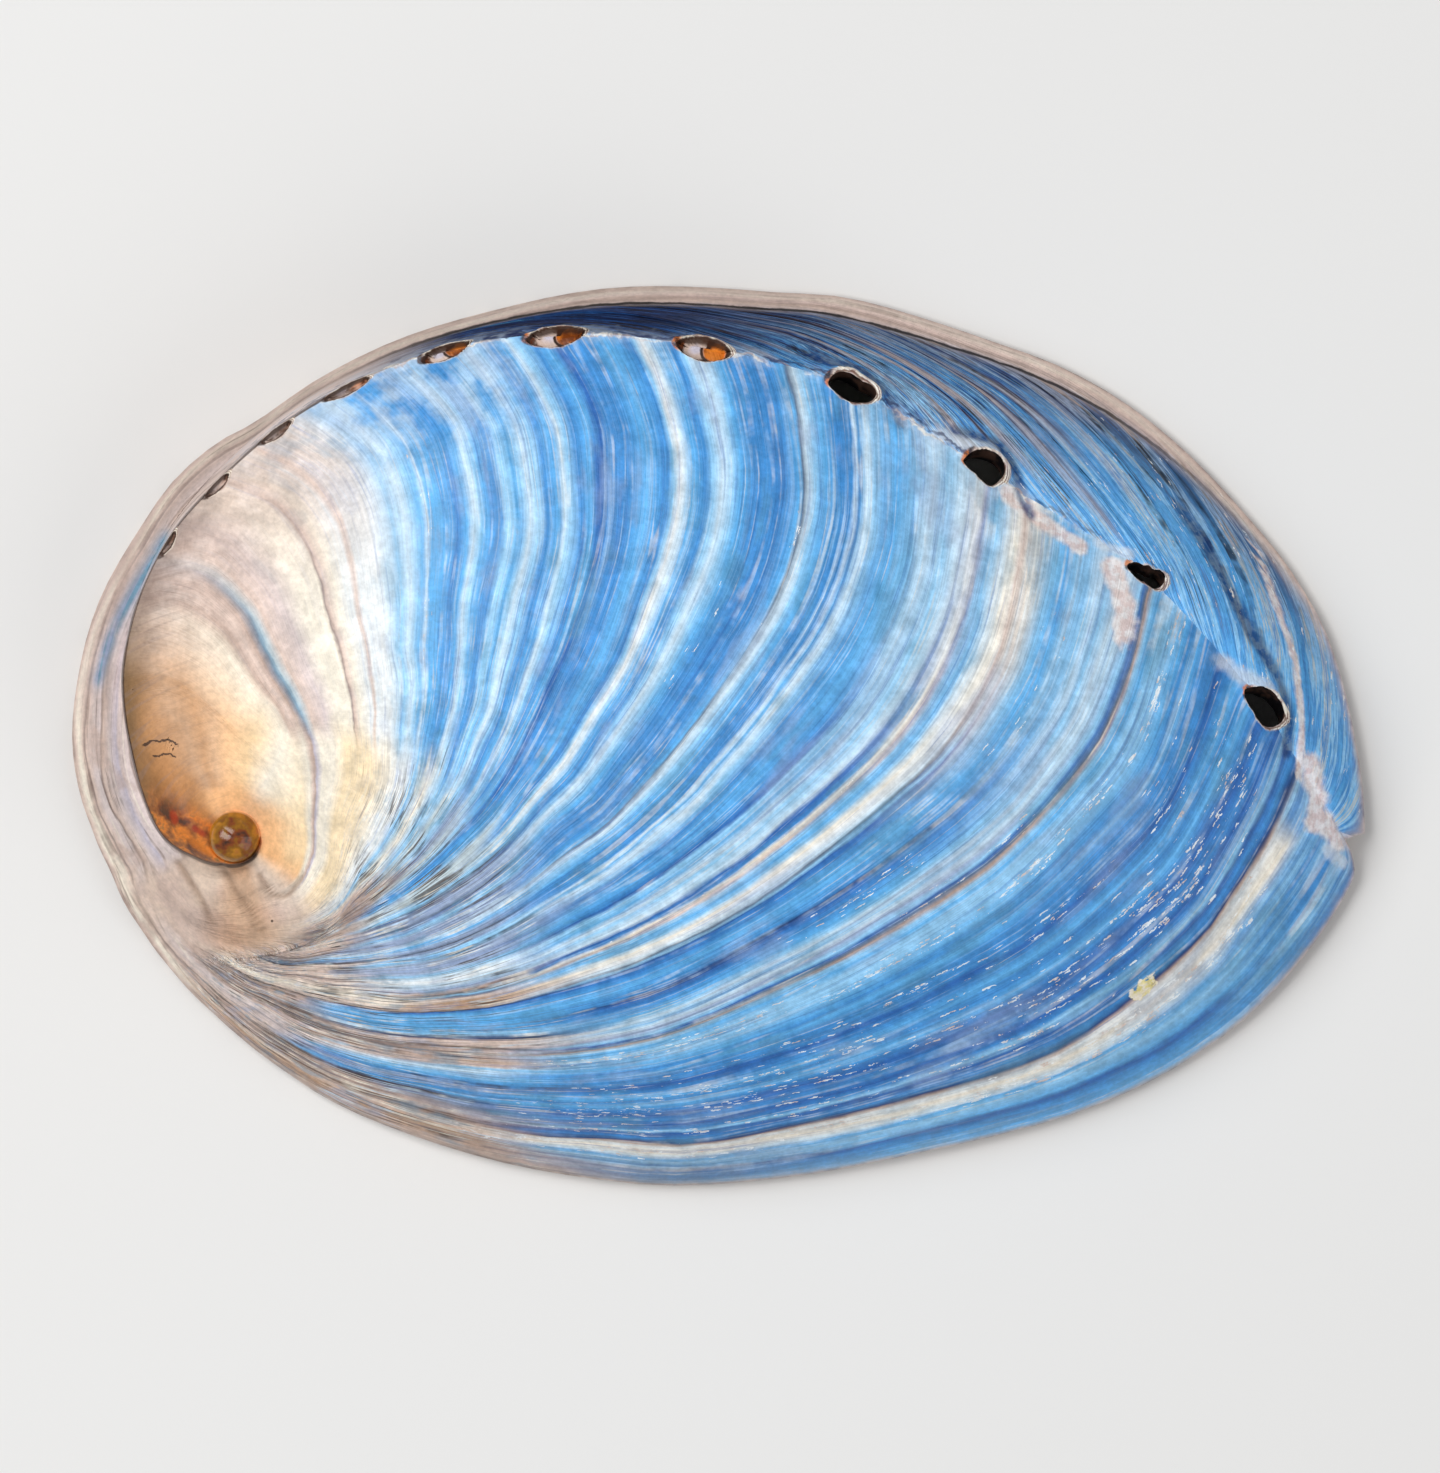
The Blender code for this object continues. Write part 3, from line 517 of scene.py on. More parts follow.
def shoulder_frame(stage, skew):
    """Point on the shoulder, with a hole's directions along it, across it and out of the shell."""
    x, y = spot(shoulder_radius(stage), stage)
    near, far = stage - 0.5, stage + 0.5
    x0, y0 = spot(shoulder_radius(near), near)
    x1, y1 = spot(shoulder_radius(far), far)
    height = float(shoulder_height(stage)) + LIP_HEIGHT
    plan = Vector((float(x1 - x0), float(y1 - y0), 0)).normalized()
    outward = Vector((plan.y, -plan.x, 0))
    axis = (Vector((0, 0, 1)) * np.cos(HOLE_LEAN) + outward * np.sin(HOLE_LEAN)).normalized()
    run = Vector((float(x1 - x0), float(y1 - y0), float(shoulder_height(far) - shoulder_height(near))))
    along = (run - axis * run.dot(axis)).normalized()
    turn = Matrix((along, axis.cross(along), axis)).transposed()
    return Vector((float(x), float(y), height)), turn @ Matrix.Rotation(np.radians(skew), 3, "Z")


def growth_noise(age, lag, age_cell, lag_cell, seed):
    """Smooth noise from -1 to 1 over age and lag, with cells of the given sizes."""
    grid = np.random.default_rng(SEED + seed).uniform(-1, 1, (NOISE_CELLS, NOISE_CELLS))
    u = age / age_cell + 3.7 * seed
    v = lag / lag_cell + 1.3 * seed
    i, j = np.floor(u).astype(int), np.floor(v).astype(int)
    a, b = u - i, v - j
    a, b = a * a * (3 - 2 * a), b * b * (3 - 2 * b)
    i, j = i % NOISE_CELLS, j % NOISE_CELLS
    n, m = (i + 1) % NOISE_CELLS, (j + 1) % NOISE_CELLS
    return (grid[i, j] * (1 - a) + grid[n, j] * a) * (1 - b) + (grid[i, m] * (1 - a) + grid[n, m] * a) * b


def noise_sum(age, lag, parts):
    return sum(size * growth_noise(age, lag, *cells) for size, *cells in parts)


def spread(density, at, count):
    """Positions that share the density out evenly."""
    total = np.concatenate([[0], np.cumsum((density[1:] + density[:-1]) / 2 * np.diff(at))])
    return np.interp(np.linspace(0, total[-1], count), total, at)


def column_lags():
    """Columns along a growth line, closer together on both sides of the shoulder."""
    lag = np.linspace(0, 360, 7201)
    inner, outer = COLUMN_EXTRA
    density = margin_radius(360.0 - lag) + COLUMN_BASE
    density = density + inner * np.exp(-lag / COLUMN_REACH) + outer * np.exp((lag - 360) / COLUMN_REACH)
    return spread(density, lag, COLUMNS + 1)


def ring_stages():
    stage = np.linspace(0, 360, 7201)
    density = -np.gradient(shoulder_radius(stage), stage) + STAGE_BASE
    return spread(density, stage, RINGS)[::-1]


LAGS = column_lags()
STAGES = ring_stages()


class Skin:
    """Grids over the outside: rows are growth lines from the nub to the margin, columns are lags."""

    def __init__(self):
        self.stage, self.lag = np.meshgrid(STAGES, LAGS, indexing="ij")
        self.bearing = self.stage - self.lag
        self.turned = np.mod(self.bearing, 360.0)
        self.radius = line_radius(self.stage, self.lag)
        self.back = SHOULDER[0][1] - shoulder_radius(self.stage)
        self.outside = self.bearing < 0
        rim = margin_radius(self.turned)
        edge = shoulder_radius(self.turned)
        self.from_margin = np.where(self.outside, rim - self.radius, rim)
        self.up = np.clip(self.from_margin / np.maximum(rim - edge, 1e-3), 0, 1.5)
        self.flange = eased(self.turned, FLANGE_SHARE)
        self.place()
        self.colour_age()
        self.regions()

    def place(self):
        x, y = spot(self.radius, self.bearing)
        self.points = np.stack([x, y, outer_height(self.radius, self.bearing)], axis=2)
        along = np.roll(self.points[:, :-1], -1, axis=1) - np.roll(self.points[:, :-1], 1, axis=1)
        along = np.concatenate([along, along[:, :1]], axis=1)
        out = np.gradient(self.points, axis=0)
        normal = np.cross(along, out)
        size = np.linalg.norm(normal, axis=2, keepdims=True)
        self.normal = normal / np.maximum(size, 1e-9)
        shoulder_step = np.abs(np.gradient(self.back, axis=0))
        self.spacing = np.clip(np.linalg.norm(out, axis=2) / np.maximum(shoulder_step, 1e-3), 0, 1)

    def colour_age(self):
        """How far back from today's margin, along the shoulder, each spot was laid down."""
        sweep = eased(self.lag, SWEEP) * (1 - fade(*SWEEP_END, self.back))
        age = self.back ** 2 / np.maximum(self.back + sweep, 1e-6)
        wall = fade(290, 330, self.lag)
        slanted = self.back + WALL_SLANT * (360.0 - self.lag)
        age = age * (1 - wall) + slanted * wall
        wiggle = noise_sum(self.back, self.lag, WIGGLES) * window(self.back, 0, 3, 70, 80)
        # Beside the holes the lines swing in a little.
        swing = SWING * bell(self.lag, SWING_LAG, SWING_REACH) * fade(0, 4, self.back)
        swing = swing * (1 - 0.75 * fade(27, 37, self.back)) * (1 - fade(55, 70, self.back))
        self.age = np.clip(age + wiggle - swing, 0, None)

    def regions(self):
        soft = fade(-0.10, 0.06, self.up - self.flange)
        low = fade(235, 268, self.turned)
        strip = self.outside * (1 - low)
        spire_side = fade(66, 84, self.turned)
        right_end = 0.8 * fade(20, 7, self.turned)
        self.wall = strip * (1 - spire_side) * (soft + (1 - soft) * right_end)
        self.strip = strip - self.wall
        self.cap = 1 - strip
        # Signed distance out from the shoulder, and out from the flange's inner edge.
        edge = shoulder_radius(np.where(self.outside, self.turned, np.maximum(self.bearing, 0)))
        self.off = self.radius - edge
        self.crease = (self.flange - self.up) * self.from_margin / np.maximum(self.up, 1e-3)


def check_steps(age):
    """Steps down to each newer stretch of shell, with a low lip at the old edge."""
    height = np.zeros_like(age)
    for at, step, width in CHECKS:
        newer = at - age
        height -= step * np.where(newer > 0, np.exp(-newer / width) * fade(0, STEP_START, newer), 0)
        height += STEP_LIP * step * np.where(newer <= 0, np.exp(newer / STEP_LIP_WIDTH), 0)
    return height


def ridges(skin):
    """Growth ridges, in millimetres, standing out of the smooth form."""
    age, lag = skin.age, skin.lag
    fine = noise_sum(age, lag, FINE_RIDGES)
    young = 1 - 0.55 * fade(30, 62, age)
    patch = 0.75 + 0.5 * growth_noise(age, lag, 5.0, 11.0, 7)
    steps = check_steps(age) * (0.75 + 0.45 * growth_noise(age, lag, 40.0, 9.0, 8)) * fade(0, 1.2, age)
    rough = 0.05 * np.maximum(growth_noise(age, lag, 0.45, 1.6, 9) - 0.25, 0) * (1 - fade(7, 14, age))
    threads = 0.018 * growth_noise(age, lag, 6.0, 0.9, 10) * fade(22, 34, age)
    cap = (fine * young * patch + steps + rough + threads) * np.clip(skin.spacing * 1.6, 0.12, 1)
    strip = noise_sum(skin.from_margin, skin.turned, STRIP_RIDGES) * fade(0, 0.6, skin.from_margin)
    settle = 1 - fade(70, 79, skin.back)
    return (cap * (skin.cap + 0.8 * skin.wall) + strip * skin.strip) * settle


HOLES = [(*hole, 0.0) for hole in OPEN_HOLES] + SEALED_HOLES + OLD_HOLES


def hole_edge(number, angle):
    """Distance from a hole's middle to its edge, at an angle from the direction of the spire."""
    if number < len(OPEN_HOLES):
        away, at = polar(*np.array(HOLE_OUTLINES[number]).T, (0, 0))
        order = np.argsort(at)
        return np.interp(angle, at[order], away[order], period=360)
    length, width = HOLES[number][1:3]
    turn = np.radians(angle)
    along = np.abs(np.cos(turn) / (length / 2)) ** SEALED_POINT
    across = np.abs(np.sin(turn) / (width / 2)) ** SEALED_POINT
    return (along + across) ** (-1 / SEALED_POINT)


def about_hole(points, number):
    """Along, across and out of a hole, and how far outside its edge, in millimetres."""
    centre, turn = shoulder_frame(HOLES[number][0], HOLES[number][3])
    local = (points - np.array(centre)) @ np.array(turn)
    u, v, w = local[..., 0], local[..., 1], local[..., 2]
    angle = np.degrees(np.arctan2(v, u))
    return u, v, w, np.hypot(u, v) - hole_edge(number, angle)


def dress_holes(skin):
    """How far the skin is raised or sunk at the holes, and each spot's place about its nearest hole."""
    shape = skin.age.shape
    lift = np.zeros(shape)
    near = {"hole_away": np.full(shape, 6.0)}
    near.update({name: np.zeros(shape) for name in ("hole_along", "hole_across", "hole_open")})
    for number, (_, length, width, _, depth) in enumerate(HOLES):
        u, v, w, away = about_hole(skin.points, number)
        close = np.abs(w) < 3
        ragged = RAGGEDNESS * growth_noise(u + 9, v + 9, 0.5, 0.5, 20 + number)
        edge = away + ragged * fade(-0.1, 0.3, away)
        outer = fade(0.5, -0.5, v)
        plug = sum(np.exp(-((u / length - at_u) ** 2 + (v / width - at_v) ** 2) / size)
                   for at_u, at_v, size in PLUG_LUMPS)
        if depth == 0:
            lip = (RIM_HEIGHT + OUTER_LIP * outer) * bell(edge, 0.22, 0.24)
            mound = (RIM_HEIGHT + OUTER_MOUND * outer) * bell(np.maximum(edge, 0), 0, MOUND_REACH)
            lift += close * (lip + mound)
        else:
            lip = RIM_HEIGHT * min(width / 2, 1) * bell(edge, 0.14, 0.2)
            floor = (-depth + PLUG_SHARE * depth * plug) * (1 - fade(-0.3, 0.02, away))
            lift += close * (lip + floor)
        nearer = close & (away < near["hole_away"])
        fields = {"hole_away": away, "hole_along": u / length * 2, "hole_across": v / width * 2,
                  "hole_open": float(depth == 0)}
        for name, field in fields.items():
            near[name] = np.where(nearer, field, near[name])
    return lift, near


def mark(points, parts):
    """How strongly each point is marked by a set of strokes."""
    strength = np.zeros(points.shape[:-1])
    for half_width, path in parts:
        nearest = np.full(strength.shape, 99.0)
        for start, end in zip(path, path[1:]):
            run = np.array(end) - np.array(start)
            off = points[..., :2] - np.array(start)
            share = np.clip((off @ run) / (run @ run), 0, 1)
            nearest = np.minimum(nearest, np.linalg.norm(off - share[..., None] * run, axis=-1))
        strength = np.maximum(strength, bell(nearest, 0, half_width))
    return strength


def untangled(plan):
    """Rim points turned so that they never cross as they go clockwise round the dome's centre."""
    half = len(plan) // 2
    off = np.roll(plan, half, axis=0) - np.array(DOME_CENTRE)
    turn = np.unwrap(np.arctan2(off[:, 1], off[:, 0]))
    turn = (np.minimum.accumulate(turn) + np.maximum.accumulate(turn[::-1])[::-1]) / 2
    turn -= LEAST_TURN * np.arange(len(turn))
    away = np.hypot(off[:, 0], off[:, 1])
    turned = np.array(DOME_CENTRE) + np.stack([away * np.cos(turn), away * np.sin(turn)], axis=1)
    return np.roll(turned, -half, axis=0)


def bowl_grid(lip, count):
    """Rings over the nacre bowl, evenly spread along the surface from the lip to the dome's centre."""
    inward = np.linspace(0, 1, BOWL_SAMPLES)[:, None, None]
    # Spokes that stand close together at the lip part as they run inwards.
    off = lip - np.array(DOME_CENTRE)
    turn = np.unwrap(np.arctan2(off[:, 1], off[:, 0]))
    gaps = -np.diff(turn, append=turn[0] - 2 * np.pi)
    gaps = np.maximum(gaps, LEAST_GAP * 2 * np.pi / len(gaps))
    parted = turn[0] - 2 * np.pi * (np.cumsum(gaps) - gaps) / gaps.sum()
    turn = turn + (parted - turn) * fade(0, 0.4, inward[..., 0])
    spokes = np.stack([np.cos(turn), np.sin(turn)], axis=2)
    plan = np.array(DOME_CENTRE) + np.hypot(off[:, 0], off[:, 1])[:, None] * (1 - inward) * spokes
    height = bowl_height(plan[..., 0], plan[..., 1])
    height[0] = 0
    points = np.concatenate([plan, height[..., None]], axis=2)
    length = np.linalg.norm(np.diff(points, axis=0), axis=2)
    run = np.concatenate([np.zeros((1, length.shape[1])), np.cumsum(length, axis=0)])
    rings = np.empty((count, lip.shape[0], 3))
    share = (np.arange(1, count + 1) / (count + 0.6)) ** BOWL_SPREAD
    for column in range(lip.shape[0]):
        along = run[:, column]
        for axis in range(3):
            rings[:, column, axis] = np.interp(along[-1] * share, along, points[:, column, axis])
    return rings


def shell_grid():
    """Points of the whole closed surface, and the values its materials read, ring by ring."""
    skin = Skin()
    lift, near_hole = dress_holes(skin)
    marks = {name: mark(skin.points, parts) for name, parts in MARKS.items()}
    height = ridges(skin) + lift + sum(size * marks[name] for name, size in MARK_HEIGHT.items())
    outer = skin.points + skin.normal * height[..., None]
    outer[:, 0] = outer[:, -1] = (outer[:, 0] + outer[:, -1]) / 2
    outer = outer[:, :-1]
    nub = []
    for part in range(NUB_RINGS, 0, -1):
        radius = np.full(COLUMNS, NUB_RADIUS * (1 - (part - 0.25) / NUB_RINGS))
        x, y = spot(radius, 360.0 - LAGS[:-1])
        nub.append(np.stack([x, y, outer_height(radius, 360.0 - LAGS[:-1])], axis=1))
    edge = outer[-1]
    arch = eased(np.mod(-LAGS[:-1], 360), MARGIN_ARCH)
    inward = inward_normals(edge[:, :2])
    lip = []
    for turn in np.linspace(0.22, 1, LIP_RINGS - 1):
        inset = LIP_CHAMFER * (1 - np.cos(turn * np.pi / 2)) + 0.25 * LIP_CHAMFER * turn
        drop = np.sin(turn * np.pi / 2)
        lip.append(np.column_stack([edge[:, :2] + inward * inset, edge[:, 2] + (arch - edge[:, 2]) * drop]))
    lip.append(np.column_stack([untangled(edge[:, :2] + inward * LIP_WIDTH), arch]))
    bowl = bowl_grid(lip[-1][:, :2], BOWL_RINGS)
    points = np.concatenate([np.array(nub), outer, np.array(lip), bowl])
    return points, skin_values(skin, {**near_hole, **marks}, len(nub), len(lip), len(bowl))


def skin_values(skin, local, nub_rings, lip_rings, bowl_rings):
    """What the materials read, one row per ring and one more column than the mesh has."""
    # Lower part of the back, and where pale horn takes over from the bands, both with a ragged edge.
    ragged = 5 * growth_noise(skin.age, skin.lag, 1.2, 30.0, 32)
    low = fade(45, 58, skin.lag + ragged)
    dull_from = eased(skin.age, DULL_LAG)
    dull = fade(dull_from - 7, dull_from + 8, skin.lag + ragged)
    # Apron below the spire, and the spire's own whorl.
    turned = skin.turned
    apron = fade(9.8, 7.6, skin.radius) * window(turned, 192, 212, 300, 334) * skin.outside
    whorl = fade(62.8, 64.8 + 5 * fade(50, 90, skin.bearing), skin.age) * skin.cap * (1 - apron)
    # Where lines run: along the shoulder between the holes, with a painted shadow beside it, round the old
    # whorl, where the line is painted shade, and at the foot of the wall, where the black line is partly
    # painted shade.
    seam = window(skin.back, 8, 22, 46, 56) * (1 - fade(2, 4, np.abs(skin.off)))
    suture = window(turned, 68, 80, 318, 335) * fade(44, 50, skin.back)
    crease_dark_and_shade = skin.outside * window(turned, 12, 30, 66, 80)
    blank = np.zeros_like(low)
    values = {
        "age": skin.age, "lag": skin.lag, "bearing": skin.bearing, "radius": skin.radius,
        "wall": skin.wall, "strip": skin.strip, "low": low, "dull": dull, "apron": apron, "whorl": whorl,
        "from_margin": np.minimum(skin.from_margin, 12), "off": np.clip(skin.off, -6, 6),
        "crease": np.clip(skin.crease, -6, 6), "crease_dark_and_shade": crease_dark_and_shade, "seam": seam, "suture": suture,
        "chips": chips(skin), "nub": blank, "nacre": blank, "shaded_bore": blank,
        "lip": np.exp(-skin.from_margin / 0.22) * skin.outside, **local,
    }
    # Fixed values on the nub, on the lip and in the bowl.
    fixed = {"nub": (1, 0, 0), "lip": (0, 1, 0), "nacre": (0, 0, 1)}
    total = {}
    for name, grid in values.items():
        parts = [np.repeat(grid[:1], nub_rings, axis=0), np.repeat(grid[-1:], lip_rings, axis=0),
                 np.repeat(grid[-1:], bowl_rings, axis=0)]
        if name in fixed:
            parts = [np.full_like(part, full) for part, full in zip(parts, fixed[name])]
        total[name] = np.concatenate([parts[0], grid, parts[1], parts[2]])
    return total


def chips(skin):
    """How thickly small white flakes stand: along some growth lines, and scattered between them."""
    age, lag = skin.age, skin.lag
    density = np.zeros_like(age)
    for at, width, start, end, strength in FLAKES:
        density += strength * bell(age, at, width) * window(lag, start - 3, start + 1, end - 2, end + 4)
    scattered = window(age, 2.9, 4.0, 7.6, 9.0) * window(lag, 1, 4, 46, 58)
    on_wall = 0.09 * (1 - fade(22, 28, skin.turned)) * skin.wall
    return np.clip((density + 0.1 * scattered) * skin.cap + on_wall, 0, 1)


def linked(name, data):
    """New object in the scene."""
    made = bpy.data.objects.new(name, data)
    bpy.context.scene.collection.objects.link(made)
    return made


def add_closed_mesh(name, points, values):
    """Object from rings of points, with its end rings closed, and the values stored on the face corners."""
    rings, columns = points.shape[:2]
    i, j = np.meshgrid(np.arange(rings - 1), np.arange(columns), indexing="ij")
    wide = columns + 1

    def corners(width, following):
        here, above = i * width, (i + 1) * width
        return np.stack([here + j, here + following, above + following, above + j], axis=-1)

    quads = corners(columns, (j + 1) % columns)
    first = np.arange(columns)[::-1]
    last = np.arange(columns)
    vertices = np.concatenate([quads.ravel(), first, last + (rings - 1) * columns])
    sources = np.concatenate([corners(wide, j + 1).ravel(), first, last + (rings - 1) * wide])
    sizes = np.concatenate([np.full(quads.size // 4, 4), [columns, columns]])
    mesh = bpy.data.meshes.new(name)
    mesh.vertices.add(rings * columns)
    mesh.vertices.foreach_set("co", (points * MM).astype(np.float32).ravel())
    mesh.loops.add(len(vertices))
    mesh.loops.foreach_set("vertex_index", vertices.astype(np.int32))
    mesh.polygons.add(len(sizes))
    mesh.polygons.foreach_set("loop_start", (np.cumsum(sizes) - sizes).astype(np.int32))
    mesh.update(calc_edges=True)
    mesh.shade_smooth()
    for title, grid in values.items():
        layer = mesh.attributes.new(title, "FLOAT", "CORNER")
        layer.data.foreach_set("value", grid.ravel()[sources].astype(np.float32))
    return linked(name, mesh)


def cut_holes(body):
    """Cuts the open holes through the wall."""
    verts, faces = [], []
    angle = np.linspace(0, 360, HOLE_SIDES, endpoint=False)
    for number, (stage, _, _, skew) in enumerate(OPEN_HOLES):
        centre, turn = shoulder_frame(stage, skew)
        away = hole_edge(number, angle)
        away = (np.roll(away, 1) + 2 * away + np.roll(away, -1)) / 4
        base = len(verts)
        for level, flare in HOLE_LEVELS:
            for a, b in zip(away * np.cos(np.radians(angle)), away * np.sin(np.radians(angle))):
                verts.append((centre + turn @ Vector((a * flare, b * flare, level))) * MM)
        for k in range(len(HOLE_LEVELS) - 1):
            for m in range(HOLE_SIDES):
                n = (m + 1) % HOLE_SIDES
                low, high = base + k * HOLE_SIDES, base + (k + 1) * HOLE_SIDES
                faces.append((low + m, low + n, high + n, high + m))
        faces.append([base + m for m in reversed(range(HOLE_SIDES))])
        faces.append([base + (len(HOLE_LEVELS) - 1) * HOLE_SIDES + m for m in range(HOLE_SIDES)])
    mesh = bpy.data.meshes.new("hole_cutters")
    mesh.from_pydata(verts, [], faces)
    mesh.shade_smooth()
    for layer in body.data.attributes:
        if layer.domain == "CORNER" and layer.data_type == "FLOAT" and not layer.name.startswith("."):
            copy = mesh.attributes.new(layer.name, "FLOAT", "CORNER")
            # The cutter's walls carry the mark for the painted shade inside the holes.
            full = 1.0 if layer.name == "shaded_bore" else 0.0
            copy.data.foreach_set("value", np.full(len(mesh.loops), full, np.float32))
    cutter = linked("hole_cutters", mesh)
    cut = body.modifiers.new("holes", "BOOLEAN")
    cut.operation = "DIFFERENCE"
    cut.solver = "MANIFOLD"
    cut.object = cutter
    graph = bpy.context.evaluated_depsgraph_get()
    finished = bpy.data.meshes.new_from_object(body.evaluated_get(graph))
    body.modifiers.clear()
    body.data = finished
    bpy.data.objects.remove(cutter, do_unlink=True)
    body.data.set_sharp_from_angle(angle=np.radians(SHARP_ANGLE))


def tint(red, green, blue):
    """Linear colour of an sRGB triple from 0 to 255."""
    parts = np.array([red, green, blue]) / 255.0
    linear = np.where(parts <= 0.04045, parts / 12.92, ((parts + 0.055) / 1.055) ** 2.4)
    return (*(float(part) for part in linear), 1.0)


def blend(share, a, b):
    """Colour the given share of the way from a to b."""
    return tuple(p + (q - p) * share for p, q in zip(a, b))


BLACK = tint(14, 12, 14)
UMBER = tint(58, 40, 32)
BROWN = tint(104, 80, 68)
TAUPE = tint(160, 140, 132)
SAND = tint(198, 172, 158)
BEIGE = tint(226, 202, 188)
PINK = tint(224, 208, 204)
CREAM = tint(253, 243, 224)
BUTTER = tint(254, 230, 190)
APRICOT = tint(251, 216, 168)
HONEY = tint(244, 186, 130)
CARAMEL = tint(206, 148, 94)
AMBER = tint(166, 100, 46)
CHESTNUT = tint(124, 62, 26)
OLIVE = tint(124, 98, 54)
RUST = tint(158, 48, 16)
ORANGE = tint(222, 126, 44)
TAN = tint(196, 158, 126)
INK = tint(14, 26, 54)
NAVY = tint(32, 62, 118)
DEEP = tint(46, 104, 180)
BLUE = tint(68, 144, 212)
SKY = tint(98, 178, 236)
PALE = tint(152, 208, 246)
ICE = tint(206, 230, 246)
WHITE = tint(240, 244, 244)
LAVENDER = tint(152, 170, 202)
SLATE = tint(98, 116, 140)
MIST = tint(194, 210, 216)
TEAL = tint(92, 150, 180)
LILAC = tint(204, 196, 208)
ROSE = tint(214, 188, 180)
LEMON = tint(238, 222, 138)

# Colour bands along the growth lines, by age: near the holes, and further down.
UPPER = [
    (0.0, PALE), (0.35, SKY), (0.8, BLUE), (1.0, DEEP), (1.15, SKY), (1.5, PALE), (1.75, SKY),
    (1.95, ICE), (2.3, CREAM), (2.6, WHITE), (2.8, SAND), (2.95, NAVY), (3.2, BLUE), (3.55, DEEP),
    (3.75, PALE), (3.95, BLUE), (4.3, DEEP), (4.7, BLUE), (5.2, DEEP), (5.6, BLUE), (5.9, SKY),
    (6.3, BLUE), (6.7, SKY), (7.1, BLUE), (7.55, DEEP), (7.8, BLUE), (8.4, BLUE), (8.8, SKY),
    (9.05, BLUE), (9.4, SKY), (10.2, PALE), (10.6, PALE), (10.95, SKY), (11.3, PALE), (11.55, SAND),
    (11.75, SLATE), (12.0, DEEP), (12.2, PALE), (12.5, LAVENDER), (12.8, ICE), (13.0, PALE), (13.3, ICE),
    (13.6, PALE), (13.9, SKY), (14.6, BLUE), (15.2, DEEP), (15.45, NAVY), (15.7, BLUE), (16.6, SKY),
    (17.3, BLUE), (17.85, DEEP), (18.05, PALE), (18.3, SLATE), (18.5, ICE), (18.9, WHITE), (19.2, CREAM),
    (19.5, PALE), (19.8, SKY), (20.1, PALE), (20.35, BEIGE), (20.6, CREAM), (20.8, BLUE), (21.1, DEEP),
    (21.35, ICE), (21.8, PALE), (22.1, ICE), (22.5, SKY), (22.9, PALE), (23.1, DEEP), (23.4, BLUE),
    (24.0, SKY), (24.7, BLUE), (25.2, PALE), (25.6, ICE), (25.9, SKY), (26.1, ICE), (26.35, BLUE),
    (27.0, BLUE), (27.6, SKY), (28.1, PALE), (28.45, ICE), (28.75, SLATE), (28.95, SKY), (29.6, BLUE),
    (31.3, BLUE), (31.95, SKY), (32.3, PALE), (32.8, ICE), (33.2, PALE), (33.6, BLUE), (34.2, SKY),
    (34.55, ICE), (34.85, WHITE), (35.15, PALE), (35.4, BLUE), (36.3, SKY), (37.2, BLUE), (38.1, BLUE),
    (38.5, DEEP), (38.9, SKY), (39.5, BLUE), (40.1, PALE), (40.45, ICE), (40.8, SKY), (41.4, BLUE),
    (41.9, PALE), (42.4, ICE), (42.8, PALE), (43.1, SKY), (43.5, PALE), (43.85, PALE), (44.15, BLUE),
    (45.0, SKY), (45.3, PALE), (45.7, ICE), (46.1, SKY), (46.6, BLUE), (47.6, SKY), (48.3, SKY),
    (48.5, ICE), (48.8, SKY), (49.2, PALE), (49.8, ICE), (50.6, PALE), (51.2, ICE), (52.0, WHITE),
    (53.3, WHITE), (53.65, BEIGE), (54.0, WHITE), (55.2, CREAM), (55.85, BEIGE), (56.0, TAUPE),
    (56.2, CREAM), (57.6, CREAM), (59.0, PINK), (60.6, BEIGE), (61.2, MIST), (61.45, tint(124, 158, 180)),
    (61.75, tint(138, 144, 156)), (62.2, SAND), (62.8, BEIGE), (63.6, SAND), (64.5, CREAM), (66.0, CREAM),
    (81.0, BUTTER),
]
